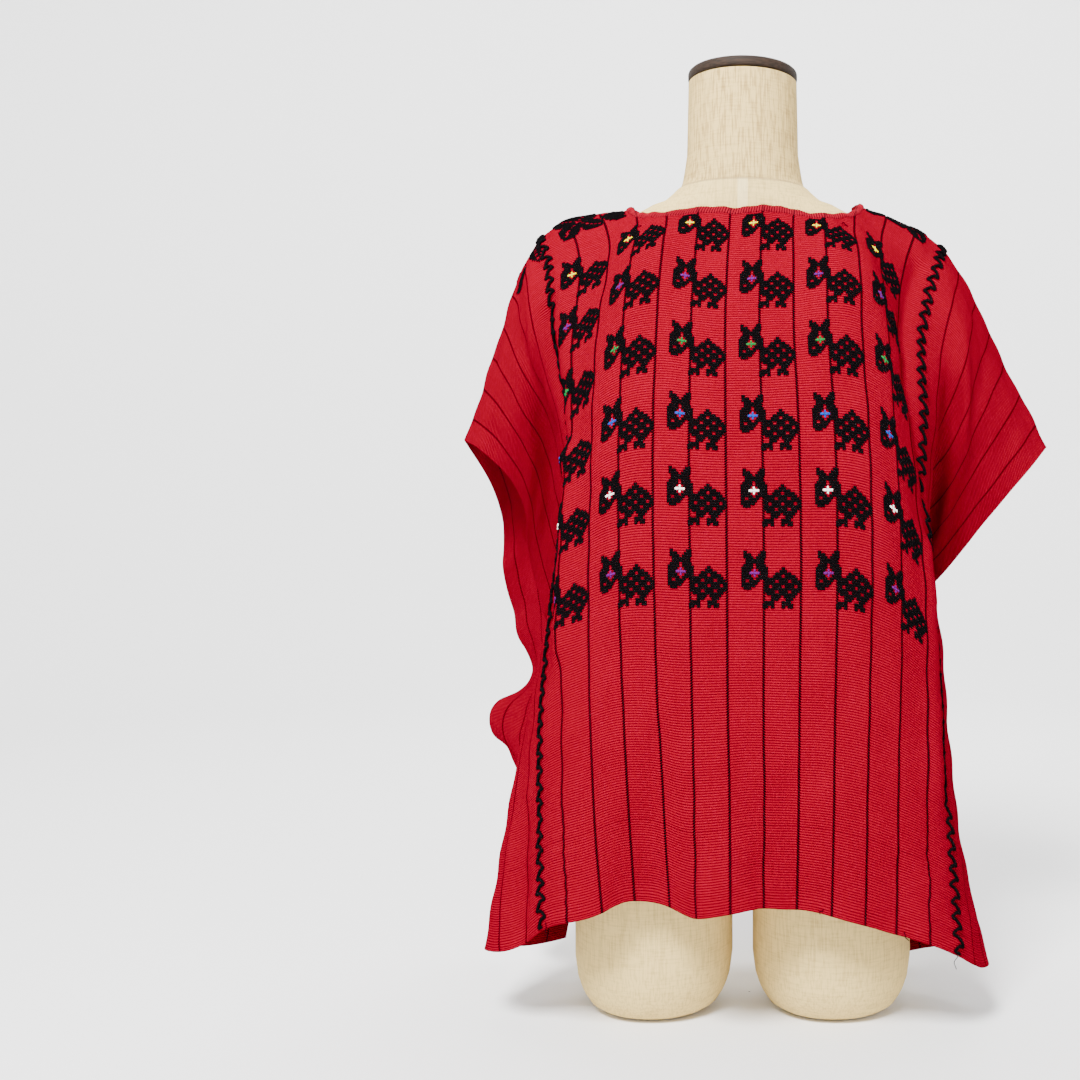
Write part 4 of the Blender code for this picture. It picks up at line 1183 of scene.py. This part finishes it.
def lay_floats(name, floats, finish, dyes=None):
    """One mesh of beads, each from `start` to `end` across and centred on `along`. A ring's
    points lie at along + tall cos a, and off the cloth at rise + half thickness times sin a. A
    tip sinks into the cloth where the yarn goes to the back, and laps the next bead where a
    warp only ties it down."""
    floats = np.asarray(floats, dtype=float)
    keep = outside_binding(floats[:, 0], floats[:, 2]) & outside_binding(floats[:, 1], floats[:, 2])
    floats = floats[keep]
    start, end, along, sunk_start, sunk_end = (column[:, None] for column in floats.T)
    angle = np.radians(90 + 360 / BEAD_SIDES * np.arange(BEAD_SIDES))
    none = 0 * start
    lost = np.concatenate([END_LOSS * sunk_start, none, END_LOSS * sunk_end], axis=1)
    tall = np.array([END_TALL, MIDDLE_TALL, END_TALL]) - lost
    rise = np.array([END_RISE, MIDDLE_RISE, END_RISE]) - lost
    rings = np.concatenate([start + TIP_LENGTH, (start + end) / 2, end - TIP_LENGTH], axis=1)
    across = np.concatenate([start, np.repeat(rings, BEAD_SIDES, axis=1), end], axis=1)
    round_rings = (tall[:, :, None] * np.cos(angle)).reshape(len(floats), -1)
    off_rings = (rise[:, :, None] + HALF_THICK * np.sin(angle)).reshape(len(floats), -1)
    rows = along + 0.001 * np.concatenate([none, round_rings, none], axis=1)
    lift = 0.001 * np.concatenate([TIP_RISE - TIP_SINK * sunk_start, off_rings,
                                   TIP_RISE - TIP_SINK * sunk_end], axis=1)
    facing = cloth_frame((start + end)[:, 0] / 2, along[:, 0])[1]
    points = on_cloth(across, rows) + (ripples(across, rows) + lift)[..., None] * facing[:, None, :]
    k = np.arange(BEAD_SIDES)
    after = (k + 1) % BEAD_SIDES
    low, middle, high = (1 + BEAD_SIDES * ring for ring in range(3))
    one = np.stack([0 * k, low + after, low + k], axis=-1).tolist()
    for ring in (low, middle):
        up = ring + BEAD_SIDES
        one += np.stack([ring + k, ring + after, up + after, up + k], axis=-1).tolist()
    one += np.stack([0 * k + BEAD_POINTS - 1, high + k, high + after], axis=-1).tolist()
    every = [[BEAD_POINTS * i + corner for corner in face]
             for i in range(len(floats)) for face in one]
    made = mesh_piece(name, points.reshape(-1, 3), every, finish)
    if dyes is not None:
        layer = made.data.attributes.new("dye", "FLOAT_COLOR", "POINT")
        tint = np.concatenate([np.asarray(dyes)[keep], np.ones((keep.sum(), 1))], axis=1)
        tint = np.repeat(tint, BEAD_POINTS, axis=0).astype(np.float32)
        layer.data.foreach_set("color", tint.ravel())
    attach(made, "root")
    return made


def beast_floats(mark):
    """Floats of all 36 beasts on the front, with the row that each belongs to."""
    floats, rows = [], []
    for level, feet in enumerate(FEET_DOWN):
        for column in range(BEAST_COLUMNS):
            left = (FIRST_STRIPE + 2 * column) * STRIPE_PITCH - SHOULDER_CELL * CELL
            for start, end, row, sunk_start, sunk_end in float_runs(BEAST_CHART, mark):
                down = feet - (len(BEAST_CHART) - row - 0.5) * WEFT_PITCH
                floats.append((left + start * CELL, left + end * CELL, -down, sunk_start, sunk_end))
                rows.append(level)
    return np.array(floats, dtype=float), np.array(rows)


def turned(floats):
    """The same floats on the back half, as the web lies when it is turned half round."""
    start, end, along, sunk_start, sunk_end = floats.T
    return np.stack([-end, -start, -along, sunk_end, sunk_start], axis=1)


black_yarn = yarn("black_yarn", dark=True)
eye_yarn = yarn("eye_yarn", dark=False)
beasts, _ = beast_floats("#")
eyes, eye_rows = beast_floats("o")
for side, black, colored in (("front", beasts, eyes), ("back", turned(beasts), turned(eyes))):
    lay_floats(f"{side}_animals", black, black_yarn)
    lay_floats(f"{side}_eyes", colored, eye_yarn, np.array(EYE_DYES)[eye_rows])


# ---- Shoulder flowers ----------------------------------------------------------------------
# A vine brocaded along each shoulder fold in the same black weft: a broad leaf beside the neck,
# a flower of four veined petals, then past the seam a petal, leaves, spindle buds and a smaller
# flower near the selvedge.

# A flower: its middle across and along, a petal's length and half width, its turn in degrees,
# and whether its petals are veined.
FLOWER = (0.179, -0.017, 0.032, 0.0125, 38, True)
SLEEVE_FLOWER = (0.408, 0.002, 0.019, 0.0070, 20, False)

# Other petals and leaves: where the axis starts and ends, across and along, the half width, and
# whether a vein shows.
VINE = (
    (0.154, -0.016, 0.112, -0.031, 0.0200, False),     # the broad leaf beside the neck
    (0.2300, -0.012, 0.2295, -0.052, 0.0090, True),    # a veined petal past the seam
    (0.2450, -0.041, 0.2780, -0.028, 0.0085, False),
    (0.2500, 0.010, 0.2780, 0.004, 0.0080, False),
    (0.2760, -0.012, 0.2960, -0.002, 0.0060, False),
    (0.2760, 0.012, 0.2960, 0.002, 0.0060, False),
    (0.2920, 0.000, 0.3200, 0.001, 0.0036, False),     # stem
    (0.3180, 0.000, 0.3420, 0.002, 0.0075, False),     # spindle bud
    (0.3440, 0.001, 0.3720, 0.006, 0.0055, False),
    (0.3700, -0.006, 0.3920, 0.001, 0.0065, False),
    (0.3700, 0.012, 0.3920, 0.004, 0.0065, False),
    (0.4280, -0.004, 0.4400, -0.001, 0.0040, False),
)


def flower_petals(middle_across, middle_along, length, half_width, turn, veined):
    """Four petals round a middle, from 4% to the whole of `length` out, `turn` degrees on."""
    petals = []
    for quarter in range(4):
        angle = np.radians(turn + 90 * quarter)
        away = np.array([np.cos(angle), np.sin(angle)])
        near, far = (np.array([middle_across, middle_along]) + away * length * s for s in (0.04, 1))
        petals.append((*near, *far, half_width, veined))
    return petals


VINE_SPAN = (0.124, 0.444)
VINE_RIBS = (-26, 38)
BUDS_FROM = 0.27              # how far across the last of the vine's three parts starts
VEIN_STEP = 0.0024
VEIN_HALF = 0.0011
VEIN_LENGTH = 0.82            # as a share of its petal's
SEAM_CLEAR = 0.0016


def vine_floats(toward, shifts):
    """The vine's floats on one shoulder. Each petal is a lens, filled within w (1 - t^2) of its
    axis for t from -1 to 1. The part inside the seam, the one past it and the buds each move to
    the back by their shift."""
    lenses = list(VINE) + flower_petals(*FLOWER) + flower_petals(*SLEEVE_FLOWER)
    cells = np.arange(*VINE_SPAN, CELL)
    rows = np.arange(*VINE_RIBS) * WEFT_PITCH
    across, along = np.meshgrid(cells + CELL / 2, rows)
    filled = np.zeros(across.shape, dtype=bool)
    veins = np.zeros(across.shape, dtype=bool)
    for x0, y0, x1, y1, half_width, veined in lenses:
        moved = shifts[int(x0 > CENTER_HALF) + int(x0 > BUDS_FROM)]
        axis = np.array([x1 - x0, y1 - y0])
        length = np.hypot(*axis)
        ahead = ((across - x0) * axis[0] + (along - y0 - moved) * axis[1]) / length
        aside = ((across - x0) * axis[1] - (along - y0 - moved) * axis[0]) / length
        t = 2 * ahead / length - 1
        filled |= (np.abs(aside) < half_width * (1 - t ** 2)) & (np.abs(t) < 1)
        dots = np.floor(ahead / VEIN_STEP) % 2 == 0
        veins |= veined & dots & (np.abs(aside) < VEIN_HALF) & (np.abs(t) < VEIN_LENGTH)
    filled &= np.abs(across - CENTER_HALF) > SEAM_CLEAR
    chart = np.where(filled, np.where(veins, "|", "#"), ".").tolist()
    start, end, row, sunk_start, sunk_end = np.array(float_runs(chart, "#"), dtype=float).T
    start, end, down = cells[0] + CELL * start, cells[0] + CELL * end, rows[row.astype(int)]
    if toward > 0:
        return np.stack([start, end, down, sunk_start, sunk_end], axis=1)
    return np.stack([-end, -start, down, sunk_end, sunk_start], axis=1)


RIGHT_SHIFTS = (0.0, 0.0, 0.022)
LEFT_SHIFTS = (0.014, 0.055, 0.040)
for hand, toward, shifts in (("right", -1, RIGHT_SHIFTS), ("left", 1, LEFT_SHIFTS)):
    lay_floats(f"shoulder_vine_{hand}", vine_floats(toward, shifts), black_yarn)


# ---- Randa seams ---------------------------------------------------------------------------
# The panels are joined by a randa, a wide zigzag of two-ply black yarn worked by hand from one
# panel's edge to the other's, over the shoulder and down front and back, a small loop at each
# corner.
RANDA_WIDTH = 0.0105
RANDA_STEP = 0.0008
RANDA_SAMPLE = 0.0004
RANDA_RADIUS = 0.00145
RANDA_SHARP = 0.96            # 1 would make its sides quite straight
RANDA_LOOP = 0.0013
RANDA_LIFT = 0.0019
RANDA_SINK = 0.0006           # how much lower its corners lie than its middle
RANDA_WANDER = 0.0008
RANDA_PLY = 0.0026
HEM_GAP = 0.002               # the stitching stops this far above the hem
PLY_SWELL = 0.20
END_DRAWN = 0.3


def twisted_cord(path, facing, radius, ply_length, sides):
    """A closed tube of radius r (1 + 0.2 cos 2(a - twist)) along a path: two plies that turn
    half round in each `ply_length`. Its ends are drawn in."""
    run = np.concatenate([[0], np.cumsum(np.linalg.norm(np.diff(path, axis=0), axis=1))])
    at = np.linspace(0, run[-1], max(int(run[-1] / RANDA_STEP), 4))
    path = np.stack([np.interp(at, run, path[:, k]) for k in range(3)], axis=-1)
    facing = np.stack([np.interp(at, run, facing[:, k]) for k in range(3)], axis=-1)
    ahead = np.gradient(path, axis=0)
    ahead /= np.linalg.norm(ahead, axis=1, keepdims=True)
    side = np.cross(facing, ahead)
    side /= np.linalg.norm(side, axis=1, keepdims=True)
    up = np.cross(ahead, side)
    angle = np.arange(sides) * 2 * np.pi / sides
    twist = at / ply_length * np.pi
    size = radius * (1 + PLY_SWELL * np.cos(2 * (angle[None, :] - twist[:, None])))
    size[[0, -1]] *= END_DRAWN
    rings = (path[:, None, :] + size[..., None] * (np.cos(angle)[None, :, None] * side[:, None, :]
             + np.sin(angle)[None, :, None] * up[:, None, :]))
    faces = quads(len(at), sides, closed=True)[:, ::-1].tolist()
    faces.append(list(range(sides)))
    faces.append(list(range(len(at) * sides - sides, len(at) * sides))[::-1])
    return rings.reshape(-1, 3), faces


def randa(name, toward, start, end):
    """The zigzag: across = seam + w asin(k sin(2 pi s / period)) / asin(k) with k a little under
    1 and w uneven by a tenth, and along = s + loop cos(4 pi s / period) and a slow wander."""
    s = np.linspace(start, end, int(abs(end - start) / RANDA_SAMPLE))
    swing = np.sin(2 * np.pi * s / RANDA_PERIOD)
    zig = np.arcsin(RANDA_SHARP * swing) / np.arcsin(RANDA_SHARP)
    wobble = 1 + 0.10 * np.sin(s * 97) * np.sin(s * 41 + toward)
    across = toward * CENTER_HALF + RANDA_WIDTH / 2 * wobble * zig
    along = s + RANDA_LOOP * np.cos(4 * np.pi * s / RANDA_PERIOD) + RANDA_WANDER * np.sin(s * 160)
    path, facing = cloth_frame(across, along, RANDA_LIFT - RANDA_SINK * zig ** 2)
    points, faces = twisted_cord(path, facing, RANDA_RADIUS, RANDA_PLY, 8)
    made = mesh_piece(name, points, faces, black_yarn)
    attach(made, "root")
    return made


for toward, hand in ((-1, "right"), (1, "left")):
    randa(f"randa_{hand}_front", toward, -DROP + HEM_GAP, 0.0)
    randa(f"randa_{hand}_back", toward, DROP - HEM_GAP, 0.0)


# ---- Loose ends ----------------------------------------------------------------------------
# Yarn ends left uncut where work was fastened off: one at each front corner of the neck, one at
# the foot of each seam and two where black warps end at the hem.

# Where each leaves the cloth, across and along, how far it reaches, and how much it curls.
YARN_ENDS = (
    (-0.1130, -0.0800, -0.008, -0.003, 0.0030),
    (0.1120, -0.0810, -0.009, -0.002, 0.0028),
    (-0.2160, -0.7230, 0.004, -0.016, 0.0020),
    (0.2180, -0.7250, -0.006, -0.018, 0.0030),
    (0.0765, -0.7240, -0.004, -0.006, 0.0022),
    (0.1600, -0.7240, 0.004, -0.008, 0.0020),
)
END_RADIUS = 0.00035
END_PLY = 0.0020
END_POINTS = 14
END_LOW, END_HIGH = 0.0005, 0.0022     # how far off the cloth's middle, and what it rises by


def yarn_end(across, along, step_across, step_along, curl):
    """One end: it goes straight from its place by t from 0 to 1 of its reach, and aside from
    that by curl t sin(2.4 pi t). Past the hem it hangs down."""
    t = np.linspace(0, 1, END_POINTS)
    bow = curl * np.sin(2.4 * np.pi * t) * t
    reach = np.hypot(step_across, step_along)
    at_across = across + step_across * t - step_along / reach * bow
    at_along = np.clip(along + step_along * t + step_across / reach * bow, -DROP, DROP)
    lift = END_LOW + END_HIGH * np.sin(np.pi * 0.6 * t)
    path, facing = cloth_frame(at_across, at_along, lift)
    path[:, 2] -= np.clip(-DROP - (along + step_along * t), 0, None)
    return twisted_cord(path, facing, END_RADIUS, END_PLY, 6)


points, faces, size = [], [], 0
for row in YARN_ENDS:
    tube, skin = yarn_end(*row)
    points.append(tube)
    faces += [[corner + size for corner in face] for face in skin]
    size += len(tube)
loose = mesh_piece("loose_yarn_ends", np.concatenate(points), faces, black_yarn)
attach(loose, "root")
